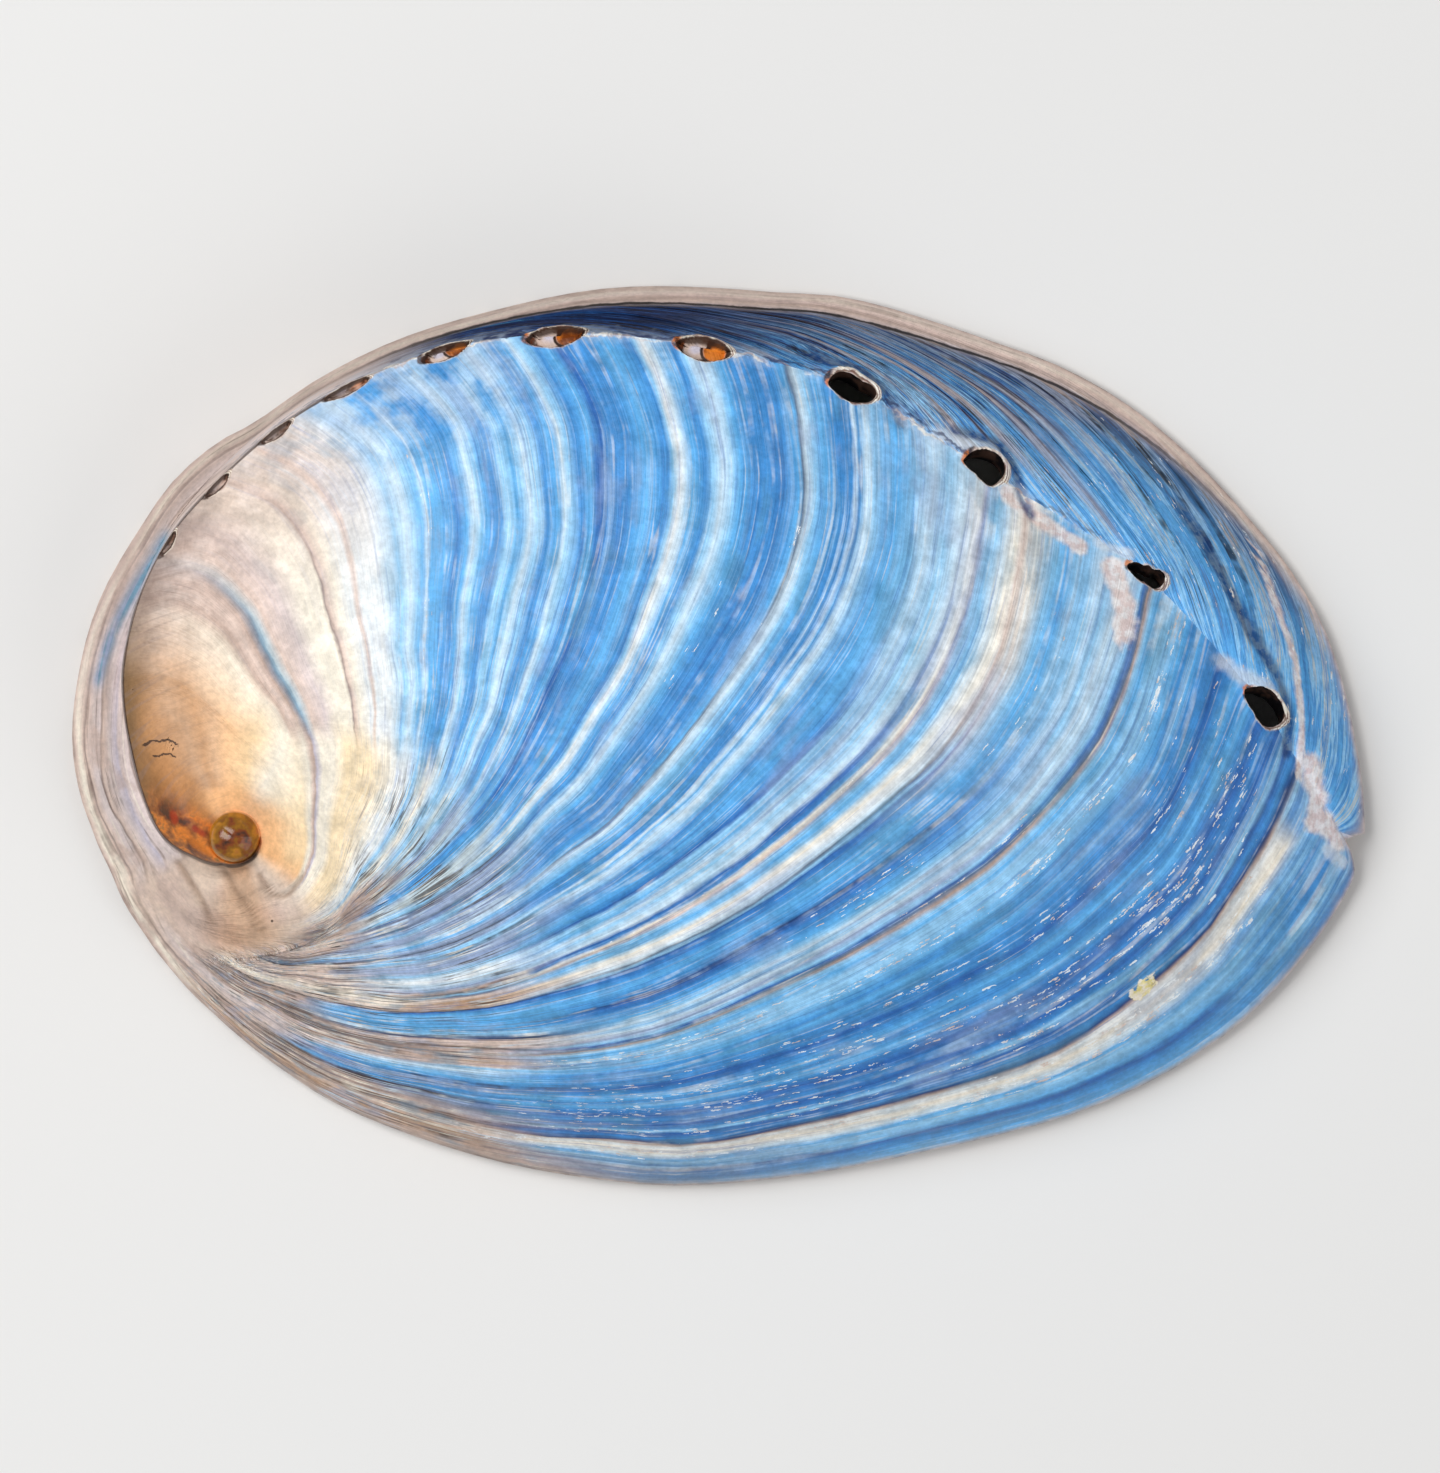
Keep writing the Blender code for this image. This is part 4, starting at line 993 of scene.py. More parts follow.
LOWER = [
    (0.0, UMBER), (0.25, BROWN), (0.5, SAND), (0.9, TAN), (1.4, SAND), (1.8, BEIGE), (2.6, BEIGE),
    (3.0, SAND), (3.25, BROWN), (3.5, TAUPE), (4.0, LAVENDER), (4.8, SLATE), (5.3, LAVENDER),
    (5.55, UMBER), (5.75, SLATE), (6.0, SKY), (6.6, BLUE), (7.2, LAVENDER), (7.8, BLUE), (8.3, SKY),
    (8.8, PALE), (9.3, ICE), (9.8, PALE), (10.1, BEIGE), (10.6, TAN), (11.4, SAND), (12.0, BEIGE),
    (12.25, BROWN), (12.5, BEIGE), (13.2, BEIGE), (13.45, SAND), (13.65, NAVY), (13.9, SLATE),
    (14.2, PALE), (14.8, SKY), (17.3, SKY), (17.75, DEEP), (17.95, UMBER), (18.15, SAND), (18.7, TAN),
    (19.4, TAN), (19.9, BEIGE), (20.25, SLATE), (20.5, PALE), (20.8, BROWN), (21.0, SAND),
    (21.4, LAVENDER), (22.1, ICE), (22.6, WHITE), (23.1, ICE), (23.5, PALE), (23.9, LAVENDER),
    (25.3, LAVENDER), (25.8, PALE), (26.2, PALE), (26.7, LAVENDER), (27.1, SLATE), (27.5, LAVENDER),
    (28.2, SKY), (28.7, ICE), (29.2, LAVENDER), (30.2, LAVENDER), (31.0, PALE), (31.6, LAVENDER),
    (31.9, SLATE), (32.3, LAVENDER), (33.2, LAVENDER), (33.8, SLATE), (34.3, PALE), (35.2, MIST),
    (36.5, MIST), (37.2, SKY), (38.2, BLUE), (39.0, PALE), (39.8, MIST), (41.0, LAVENDER), (42.0, PALE),
    (43.0, MIST), (44.5, PALE), (45.5, ICE), (46.3, CREAM), (47.3, MIST), (48.3, PALE), (49.2, WHITE),
    (50.5, WHITE), (52.0, CREAM), (54.5, BUTTER), (57.5, BUTTER), (59.0, CREAM), (60.6, CREAM),
    (61.3, LILAC), (61.6, SAND), (61.9, BEIGE), (62.6, CREAM), (65.0, BUTTER), (81.0, BUTTER),
]
# Paler stretch beside the second and third holes.
PASTEL = [
    (9.5, SKY), (10.2, PALE), (11.2, MIST), (12.1, PALE), (13.2, ICE), (13.7, PALE), (14.2, ICE),
    (14.8, PALE), (15.4, PALE), (16.1, SKY), (16.8, PALE), (17.3, MIST), (17.8, CREAM), (18.3, BEIGE),
    (18.7, CREAM), (19.3, ICE), (19.8, PALE), (20.3, LAVENDER), (20.7, WHITE), (21.3, ICE), (21.9, PALE),
    (22.6, ICE), (23.3, PALE), (24.2, SKY), (25.0, PALE), (26.0, BLUE),
]
# Pale horn that takes over below the spire.
HORN = [
    (0.0, UMBER), (0.3, SAND), (1.5, TAN), (2.5, BEIGE), (3.0, SAND), (3.3, BROWN), (3.7, SAND),
    (5.1, SAND), (5.5, UMBER), (5.9, BEIGE), (8.0, PINK), (9.5, PINK), (10.6, SAND), (12.1, TAUPE),
    (12.4, BROWN), (12.8, BEIGE), (13.6, TAUPE), (14.2, SAND), (17.2, SAND), (17.9, UMBER), (18.4, BEIGE),
    (20.2, CREAM), (22.4, BEIGE), (23.0, TAUPE), (23.6, BEIGE), (26.6, BEIGE), (27.0, UMBER),
    (27.6, SLATE), (30.0, TAUPE), (31.0, SAND), (33.0, BEIGE), (37.0, SAND), (40.0, TAUPE), (43.5, SAND),
    (46.0, BEIGE), (48.5, CREAM), (51.0, BUTTER), (56.0, CREAM), (81.0, CREAM),
]
# Colour round the spire's own whorl, by bearing.
WHORL = [
    (-60, CARAMEL), (-35, HONEY), (-15, APRICOT), (20, BUTTER), (62, CREAM), (80, APRICOT),
    (94, tint(248, 200, 152)), (103, tint(232, 188, 148)), (110, tint(212, 164, 122)),
    (117, tint(200, 160, 126)), (128, tint(196, 142, 94)), (142, tint(178, 120, 68)),
    (151, tint(186, 116, 58)), (158, tint(176, 84, 26)), (167, tint(146, 62, 14)), (180, AMBER),
    (192, CHESTNUT), (215, tint(150, 100, 60)), (300, TAN),
]
# Colour across the flange, by distance from the margin.
STRIP = [
    (0.0, TAUPE), (0.12, BEIGE), (0.5, CREAM), (0.95, BEIGE), (1.15, TAUPE), (1.3, BEIGE), (1.9, PINK),
    (2.3, PINK), (2.45, TAUPE), (2.65, BEIGE), (3.3, PINK), (4.0, LILAC), (4.3, PINK), (5.2, PINK),
    (5.5, TAUPE), (6.0, PINK), (8.0, BEIGE),
]
# Glass of the nub, by noise.
NUB_AMBER = [
    (0.38, UMBER), (0.44, CHESTNUT), (0.49, tint(132, 88, 22)), (0.55, tint(168, 112, 30)), (0.61, AMBER),
]
# Sheen of the nacre, by noise.
NACRE_SHEEN = [
    (0.26, tint(206, 196, 214)), (0.36, tint(188, 214, 214)), (0.44, tint(226, 222, 214)),
    (0.50, tint(232, 204, 210)), (0.56, tint(196, 222, 206)), (0.64, tint(206, 210, 232)),
    (0.74, tint(238, 230, 218)),
]
# Most stops that one colour ramp is given.
MOST_STOPS = 30
# Scales of the noises over the object's own space, finest first.
GRAIN = 2600.0
CRUMBS = 1250.0
SPOTS = 640.0
DRIFT = 340.0
FOLDS = 180.0
# Lag at which the bands give way to pale horn colours below the spire, by age.
DULL_LAG = [
    (0, 42), (1, 48), (2, 51), (4, 56), (5.4, 66), (5.9, 84), (8, 82), (9.2, 76), (9.9, 62), (10.6, 56),
    (12, 58), (13.4, 70), (13.8, 82), (16, 84), (17.6, 84), (18.2, 66), (20.6, 70), (22, 78), (24, 80),
    (26.5, 79), (28, 98), (30, 95), (32, 86), (35, 84), (37.5, 90), (39, 82), (41, 76), (44, 80),
    (47, 100), (50, 140), (82, 150),
]

# Finish of the shell.
GLASS_ROUGHNESS = 0.09
NACRE_ROUGHNESS = 0.20
SHELL_ROUGHNESS = (0.36, 0.54)
SHELL_SPECULAR = 0.24
NUB_SPECULAR = 0.1
SHELL_COAT = 0.06
NUB_COAT = 0.22
COAT_ROUGHNESS = 0.14
RELIEF_STRENGTH = 0.75
RELIEF_DEPTH = 0.22 * MM

# Studio, in metres: where each light stands, the side of its square and its power.
LIGHTS = {"key": ((-0.40, 0.16, 0.68), 0.56, 5.4), "fill": ((0.55, -0.30, 0.55), 0.7, 1.8)}
SKY_LIGHT = (0.92, 0.95, 1.0, 1)
SKY_STRENGTH = 0.32
FLOOR_HALF = 3.0
FLOOR_COLOUR = (0.78, 0.77, 0.75, 1)
FLOOR_ROUGHNESS = 0.85


class Field:
    """A value that varies over the surface.  Arithmetic on it adds nodes."""

    def __init__(self, wiring, socket):
        self.wiring = wiring
        self.socket = socket

    def __add__(self, other):
        return self.wiring.math("ADD", self, other)

    def __radd__(self, other):
        return self.wiring.math("ADD", other, self)

    def __sub__(self, other):
        return self.wiring.math("SUBTRACT", self, other)

    def __rsub__(self, other):
        return self.wiring.math("SUBTRACT", other, self)

    def __mul__(self, other):
        return self.wiring.math("MULTIPLY", self, other)

    def __truediv__(self, other):
        return self.wiring.math("DIVIDE", self, other)

    def __abs__(self):
        return self.wiring.math("ABSOLUTE", self)

    def span(self, low, high, to_low=0, to_high=1):
        """Smooth step from to_low at low to to_high at high, held beyond them."""
        inputs = {"Value": self, "From Min": low, "From Max": high, "To Min": to_low, "To Max": to_high}
        return self.wiring.node("MapRange", inputs, "Result", interpolation_type="SMOOTHSTEP")

    def near(self, middle, half, soft):
        """1 within half of the middle value, falling to 0 over a soft edge."""
        return abs(self - middle).span(half + soft, half)

    def sibling(self, output):
        """Another output of the same node."""
        return Field(self.wiring, self.socket.node.outputs[output])


class Wiring:
    """Short calls for building a material's nodes."""

    def __init__(self, name):
        self.material = bpy.data.materials.new(name)
        self.material.use_nodes = True
        self.nodes = self.material.node_tree.nodes
        self.shader = self.nodes["Principled BSDF"]
        self.place = self.node("TexCoord", {}, "Object")
        self.made = {}

    def feed(self, socket, value):
        if isinstance(value, Field):
            self.material.node_tree.links.new(value.socket, socket)
        else:
            socket.default_value = value

    def node(self, kind, inputs, output=0, **settings):
        """One output of a new node whose settings and inputs are filled in."""
        node = self.nodes.new("ShaderNode" + kind)
        for name, setting in settings.items():
            setattr(node, name, setting)
        for key, value in inputs.items():
            self.feed(node.inputs[key], value)
        return Field(self, node.outputs[output])

    def value(self, name):
        """What the mesh stores under this name."""
        if name not in self.made:
            self.made[name] = self.node("Attribute", {}, "Fac", attribute_name=name)
        return self.made[name]

    def math(self, operation, a, b=0):
        return self.node("Math", {0: a, 1: b}, operation=operation)

    def vector(self, x, y, z=0):
        return self.node("CombineXYZ", {0: x, 1: y, 2: z})

    def distance(self, x, y):
        return self.math("SQRT", x * x + y * y)

    def noise(self, vector, scale, detail=2, roughness=0.5):
        inputs = {"Vector": vector, "Scale": scale, "Detail": detail, "Roughness": roughness}
        return self.node("TexNoise", inputs, "Fac")

    def specks(self, scale):
        """Noise over the object's own space, made once for each scale."""
        if scale not in self.made:
            self.made[scale] = self.noise(self.place, scale, 3, 0.6)
        return self.made[scale]

    def streaks(self, across, along, across_scale, along_scale, detail=4, roughness=0.6, shift=0):
        """Noise drawn out along the growth lines."""
        vector = self.vector(across * across_scale, along * along_scale, shift)
        return self.noise(vector, 1, detail, roughness)

    def hairlines(self, across, along, across_scale, along_scale, shift):
        """Thin lines that run along the growth lines and now and then merge or fade."""
        field = self.streaks(across, along, across_scale, along_scale, 1, 0.4, shift)
        return field.near(0.5, 0.008, 0.02) * self.specks(DRIFT).span(0.36, 0.62)

    def flecks(self, across, along, across_scale, along_scale, share):
        """Small separate spots drawn out along the growth lines, covering the given share of their cells."""
        ragged = (self.specks(GRAIN) - 0.5) * 2.4
        vector = self.vector(across * across_scale + ragged, along * along_scale + ragged)
        cells = self.node("TexVoronoi", {"Vector": vector, "Scale": 1}, "Distance", voronoi_dimensions="2D")
        chance = self.node("SeparateColor", {0: cells.sibling("Color")})
        size = chance.sibling(1).span(0, 1, 0.08, 0.46)
        return self.math("LESS_THAN", chance, share) * (cells - size).span(0.08, -0.08)

    def mix(self, share, a, b):
        return self.node("Mix", {0: share, 6: a, 7: b}, 2, data_type="RGBA", clamp_factor=True)

    def lit(self, colour, factor):
        """Colour made lighter or darker."""
        return self.node("VectorMath", {0: colour, "Scale": factor}, operation="SCALE")

    def ramp(self, value, stops):
        colour = self.node("ValToRGB", {"Fac": value}, "Color")
        elements = colour.socket.node.color_ramp.elements
        elements[0].position, elements[0].color = stops[0]
        elements[1].position, elements[1].color = stops[-1]
        for position, tone in stops[1:-1]:
            elements.new(position).color = tone
        return colour

    def bands(self, value, table):
        """Colour from a table of (value, colour), split over several ramps where it is long."""
        for start in range(0, len(table) - 1, MOST_STOPS - 1):
            part = table[start:start + MOST_STOPS]
            low, high = part[0][0], part[-1][0]
            stops = [((at - low) / (high - low), colour) for at, colour in part]
            colour = self.ramp((value - low) / (high - low), stops)
            if start:
                colour = self.mix(self.math("GREATER_THAN", value, low), result, colour)
            result = colour
        return result


def back_colour(w):
    """Bands along the growth lines, with finer strands in them."""
    age, lag = w.value("age"), w.value("lag")
    waver = w.streaks(age, lag, 0.7, 0.08, 3) - 0.5
    sharp = w.streaks(age, lag, 1.9, 0.30, 2) - 0.5
    warped = age + waver * 0.7 + sharp * 0.3
    back = w.mix(w.value("low"), w.bands(warped, UPPER), w.bands(warped, LOWER))
    pastel = age.near(18.6, 5.6, 1.4) * (lag + waver * 14).span(25, 9, 0, 0.85)
    back = w.mix(pastel, back, w.bands(age + waver * 1.1 + sharp * 0.5, PASTEL))
    brown_edge = age.span(49, 53) * lag.span(26, 5, 0, 0.75)
    hue = w.streaks(age, lag, 0.5, 0.11, 3, 0.65, 23)
    back = w.mix(brown_edge, back, w.mix(hue.span(0.42, 0.6), SAND, BEIGE))
    strong = age.span(47, 58, 1, 0.12)
    bundle = w.streaks(age, lag, 0.33, 0.03, 2, 0.5, 4)
    strands = w.streaks(age, lag, 2.1, 0.035, 4, 0.72)
    fine = w.streaks(age, lag, 6, 0.07, 3, 0.6, 7)
    light = strands.span(0.52, 0.68, 0, 0.48) * bundle.span(0.40, 0.58, 0.25, 1) * strong
    dark = strands.span(0.47, 0.33, 0, 0.5) * strong
    back = w.mix(light, back, ICE)
    back = w.mix(dark, back, DEEP)
    # Beside the notch the newest cream bands run out into blue.
    notch = w.math("MAXIMUM", age.span(2.3, 1.9) * lag.span(13, 6, 0, 0.9),
                   age.span(3, 2.7) * lag.span(4.5, 2.5, 0, 0.9))
    back = w.mix(notch, back, w.mix(strands.span(0.42, 0.6), BLUE, PALE))
    rim = age.span(2, 1.2) * lag.span(24, 38, 0, 0.55)
    back = w.mix(rim, back, w.mix(strands.span(0.42, 0.6), SLATE, blend(0.5, TEAL, SAND)))
    horn = horn_colour(w, warped)
    back = w.mix(w.value("dull"), back, horn)
    back = w.mix(hue.span(0.53, 0.68, 0, 0.4) * strong, back, LAVENDER)
    back = w.mix(hue.span(0.46, 0.34, 0, 0.4) * strong, back, TEAL)
    dark_lines = w.hairlines(age, lag, 1, 0.022, 31)
    dark_share = dark_lines * w.value("low").span(0, 1, 0.24, 0.75) * strong
    back = w.mix(dark_share, back, w.mix(w.value("low"), SLATE, UMBER))
    close_lines = w.hairlines(age, lag, 1.7, 0.016, 91)
    back = w.mix(close_lines * lag.span(46, 66, 0, 0.65) * strong, back, blend(0.5, UMBER, BROWN))
    pale_lines = w.hairlines(age, lag, 1.3, 0.026, 41)
    pale_share = pale_lines * w.value("low").span(0, 1, 0.3, 0.6) * strong
    back = w.mix(pale_share, back, w.mix(hue.span(0.45, 0.55), CREAM, ICE))
    # Old shell beside the shoulder is blotched with blue and beige.
    blotched = age.near(46, 3, 3) * lag.span(16, 5, 0, 0.6)
    blotches = w.specks(DRIFT) + (hue - 0.5) * 0.8
    back = w.mix(blotched, back, w.mix(blotches.span(0.38, 0.62), BLUE, blend(0.4, PALE, SAND)))
    cloud = w.specks(DRIFT) * 0.6 + w.specks(SPOTS) * 0.4
    fine = 0.5 + (fine - 0.5) * strong
    return w.lit(back, fine.span(0.3, 0.7, 0.9, 1.08) * cloud.span(0.34, 0.66, 0.86, 1.08))


def horn_colour(w, warped):
    age, lag = w.value("age"), w.value("lag")
    crowd = lag.span(98, 128)
    close = w.streaks(age, lag, 1, 0.02, 4, 0.74, 3)
    wide = w.streaks(age, lag, 0.34, 0.014, 3, 0.68, 3)
    lines = close + crowd * (wide - close)
    contrast = age.span(44, 51, 1, 0.12)
    horn = w.bands(warped, HORN)
    horn = w.mix(lines.span(0.47, 0.36, 0, 0.75) * contrast, horn, blend(0.5, BROWN, SLATE))
    horn = w.mix(lines.span(0.52, 0.64, 0, 0.6) * contrast, horn, PINK)
    horn = w.mix(w.hairlines(age, lag, 1.1, 0.012, 51) * contrast * 0.8, horn, UMBER)
    return w.mix(w.hairlines(age, lag, 1.3, 0.014, 61) * contrast * 0.7, horn, CREAM)


def wall_colour(w, back):
    """Steep side below the holes: blue near the margin, and navy with black lines further back."""
    age, lag = w.value("age"), w.value("lag")
    lines = w.streaks(age, lag, 1.3, 0.05, 4, 0.74, 11)
    wide = w.streaks(age, lag, 0.45, 0.03, 3, 0.5, 19)
    young = w.ramp(lines, [(0.30, SLATE), (0.37, BLUE), (0.44, SKY), (0.49, BLUE), (0.53, PALE), (0.57, SKY),
                           (0.61, MIST), (0.65, BLUE), (0.70, MIST)])
    young = w.mix(wide.span(0.54, 0.64, 0, 0.75), young, w.mix(lines.span(0.42, 0.56), TAUPE, LAVENDER))
    middle = w.ramp(lines, [(0.30, BLACK), (0.38, INK), (0.43, DEEP), (0.48, SKY), (0.52, NAVY), (0.57, PALE),
                            (0.62, SLATE), (0.66, BLUE), (0.70, BEIGE)])
    middle = w.mix(wide.span(0.53, 0.62, 0, 0.7), middle, w.mix(lines.span(0.4, 0.56), UMBER, SAND))
    old = w.ramp(lines, [(0.30, BLACK), (0.40, INK), (0.46, NAVY), (0.50, INK), (0.54, NAVY), (0.58, DEEP),
                         (0.63, INK), (0.70, SKY)])
    wall = w.mix(w.value("bearing").span(-339, -328), young, middle)
    # The foot of the wall is darker and greyer.
    foot = w.ramp(lines, [(0.32, BLACK), (0.40, UMBER), (0.45, NAVY), (0.50, SLATE), (0.55, LAVENDER),
                          (0.59, UMBER), (0.64, SAND), (0.70, SLATE)])
    tip = w.value("bearing").span(-354, -344)
    wall = w.mix(w.value("crease").span(-3.6, -0.3, 0, 0.8) * tip, wall, foot)
    wall = w.mix(w.value("bearing").span(-324, -308), wall, old)
    wall = w.mix(w.hairlines(age, lag, 1.2, 0.03, 71) * tip * 0.85, wall, BLACK)
    # The wall is made darker further back: partly its own navy, partly painted shade on the steep side.
    return w.lit(w.mix(0.95, back, wall), w.value("bearing").span(-330, -304, 1.08, 0.7))


def strip_colour(w):
    """Flange along the margin and the strip beside the spire."""
    margin, bearing = w.value("from_margin"), w.value("bearing")
    waver = w.streaks(margin, bearing, 0.3, 0.03, 3) - 0.5
    strip = w.bands(margin + waver * 1.6, STRIP)
    lines = w.streaks(margin, bearing, 2, 0.016, 4, 0.68, 5)
    strip = w.mix(lines.span(0.42, 0.33, 0, 0.7), strip, BROWN)
    strip = w.mix(lines.span(0.56, 0.66, 0, 0.5), strip, CREAM)
    strip = w.mix(w.hairlines(margin, bearing, 0.9, 0.01, 81) * 0.55, strip, BROWN)
    patch = w.streaks(margin, bearing, 0.4, 0.05, 3, 0.5, 8)
    strip = w.mix(patch.span(0.52, 0.64, 0, 0.6), strip, SAND)
    flange = bearing.span(-200, -250, 0, 0.62) * patch.span(0.3, 0.62, 1, 0.6)
    strip = w.mix(flange, strip, w.mix(lines.span(0.4, 0.6), SAND, ROSE))
    blue = w.value("blue") * w.specks(DRIFT).span(0.3, 0.55, 0.45, 0.9)
    return w.mix(blue, strip, w.mix(lines.span(0.4, 0.6), TEAL, LAVENDER))


def spire_colour(w, colour):
    """Warm whorl round the nub, and the pale apron below it."""
    bearing, radius, off = w.value("bearing"), w.value("radius"), w.value("off")
    warps, drift = w.specks(FOLDS) - 0.5, w.specks(DRIFT)
    whorl = w.bands(bearing + warps * 22, WHORL)
    halo = (radius + warps * 2.5).span(5, 2.6) * bearing.span(140, 120, 0, 0.85)
    whorl = w.mix(halo, whorl, HONEY)
    rays = w.streaks(bearing, radius, 0.14, 0.22, 4, 0.62, 6)
    whorl = w.lit(whorl, rays.span(0.32, 0.68, 0.975, 1.025))
    spiral = w.streaks(radius, bearing, 2.4, 0.03, 3, 0.6, 2)
    whorl = w.lit(whorl, spiral.span(0.35, 0.65, 0.94, 1.04))
    colour = w.mix(w.value("whorl"), colour, whorl)
    # Painted shade darkens the whorl towards its rounded edge, with faint arcs.
    edge_shade = (off + warps * 5).span(-5, 0.4, 0, 0.85) * bearing.span(86, 106)
    edge_shade_colour = w.mix(bearing.span(104, 124), blend(0.5, TAUPE, BROWN), blend(0.55, BROWN, OLIVE))
    colour = w.mix(edge_shade, colour, edge_shade_colour)
    arcs = w.streaks(radius, bearing, 1.1, 0.012, 2, 0.5, 27).near(0.5, 0.008, 0.05)
    arced = arcs * bearing.span(92, 108, 0, 0.32) * bearing.span(158, 142) * off.span(-9, -2)
    colour = w.mix(arced, colour, blend(0.5, BROWN, TAUPE))
    spots = (w.specks(CRUMBS) - 0.5) * 0.7
    glass = w.ramp(w.specks(SPOTS), [(0.34, UMBER), (0.42, CHESTNUT), (0.50, AMBER), (0.58, ORANGE),
                                     (0.66, OLIVE)])
    nearby = (radius + (drift - 0.5) * 6).span(8.5, 5)
    glassy = bearing.span(138, 164, 0, 0.8) * nearby * w.value("whorl")
    colour = w.mix(glassy, colour, glass)
    for name, full, share, tone in (("orange", 1.1, 0.7, ORANGE), ("rust", 0.9, 0.85, RUST)):
        colour = w.mix((w.value(name) + spots).span(0.3, full, 0, share), colour, tone)
    folds = w.specks(FOLDS)
    apron = w.mix(folds.span(0.38, 0.62), blend(0.5, SAND, BEIGE), blend(0.4, PINK, APRICOT))
    # Close to the nub the apron is darker: partly its own browner tone, partly painted shade at the foot of
    # the nub.
    apron = w.mix(radius.span(3.8, 2.2, 0, 0.5), apron, blend(0.4, TAN, BROWN))
    apron = w.mix(bearing.span(-118, -90) * bearing.span(-55, -75, 0, 0.5), apron, CARAMEL)
    colour = w.mix(w.value("apron"), colour, apron)
    # The darker lines along the folds below the nub are painted shade in their grooves.
    return w.mix(w.value("fold") * 0.6, colour, blend(0.6, TAN, BROWN))


def fine_marks(w, colour):
    """Two hairline cracks in the old whorl and a pinhole below the nub."""
    x = w.node("SeparateXYZ", {0: w.place}) * (1 / MM)
    y = w.node("SeparateXYZ", {0: w.place}, "Y") * (1 / MM)
    jag = (w.specks(CRUMBS) - 0.5) * 0.9
    thin = w.specks(SPOTS)
    for start, end, middle, arch, half in CRACKS:
        along = (x - (start + end) / 2) * (2 / (end - start))
        bend = (1 - along * along) * arch
        line = y - middle - bend + jag
        strength = line.near(0, half, 0.07) * along.near(0, 0.85, 0.15) * thin.span(0.3, 0.45)
        colour = w.mix(strength * 0.9, colour, UMBER)
    pit_x, pit_y, size = PIT
    return w.mix(w.distance(x - pit_x, y - pit_y).span(size, 0.5 * size, 0, 0.9), colour, UMBER)


def edge_colour(w, colour):
    """Lines along the shoulder, the suture and the flange, and the pink and shaded spots by the holes."""
    off, crumbs, drift = w.value("off"), w.specks(CRUMBS), w.specks(DRIFT)
    pinkish = w.mix(crumbs.span(0.40, 0.62), tint(232, 204, 192), tint(248, 238, 232))
    blots = drift - 0.5 + (crumbs - 0.5) * 0.6
    for name, *limits, tone in (("pink", 0.28, 0.82, 0, 0.8, pinkish),
                                ("pale", 0.3, 0.9, 0, 0.65, blend(0.4, ICE, PINK))):
        blot = (w.value(name) + blots).span(*limits)
        colour = w.mix(blot * w.value(name).span(0.03, 0.3), colour, tone)
    shade = (w.value("shade") + (drift - 0.5) * 0.9).span(0.2, 1, 0, 0.85)
    colour = w.mix(shade, colour, w.mix(crumbs.span(0.4, 0.6), NAVY, SLATE))
    lemon = (w.value("lemon") + (crumbs - 0.5) * 1.4).span(0.45, 0.6, 0, 0.95)
    colour = w.mix(lemon, colour, w.mix(crumbs.span(0.42, 0.62), LEMON, CREAM))
    waver = (w.specks(SPOTS) - 0.5) * 1.6
    wandering = off + waver
    glow = abs(wandering).span(1.1, 0.1, 0, 0.4) * w.value("seam") * drift.span(0.35, 0.6)
    colour = w.mix(glow, colour, blend(0.5, PALE, PINK))
    seam = wandering.near(-0.1, 0.05, 0.16) * w.value("seam") * drift.span(0.36, 0.6)
    colour = w.mix(seam * 0.65, colour, w.mix(crumbs.span(0.42, 0.55), SAND, CREAM))
    # A dark line just outside the seam: painted shadow cast by the raised rims beside the holes.
    groove_shadow = wandering.near(0.30, 0.04, 0.14) * w.value("seam") * drift.span(0.58, 0.48)
    colour = w.mix(groove_shadow * 0.7, colour, blend(0.5, NAVY, UMBER))
    # A dark line along the suture round the old whorl: painted shade in its crevice.
    suture = (off + waver * 0.1).near(0.06, 0.09, 0.14) * w.value("suture")
    colour = w.mix(suture * 0.88, colour, w.mix(crumbs.span(0.4, 0.6), UMBER, blend(0.4, UMBER, BROWN)))
    # A black line along the crease where the wall meets the flange: partly the shell's own dark line, partly
    # painted shade.
    crease = (w.value("crease") + waver * 0.2).near(0.05, 0.07, 0.12) * w.value("crease_dark_and_shade")
    return w.mix(crease * 0.9, colour, BLACK)


def ellipse(w, u, v, middle, half):
    """Distance from the middle of an ellipse, 1 on its edge."""
    return w.distance((u - middle[0]) / half[0], (v - middle[1]) / half[1])


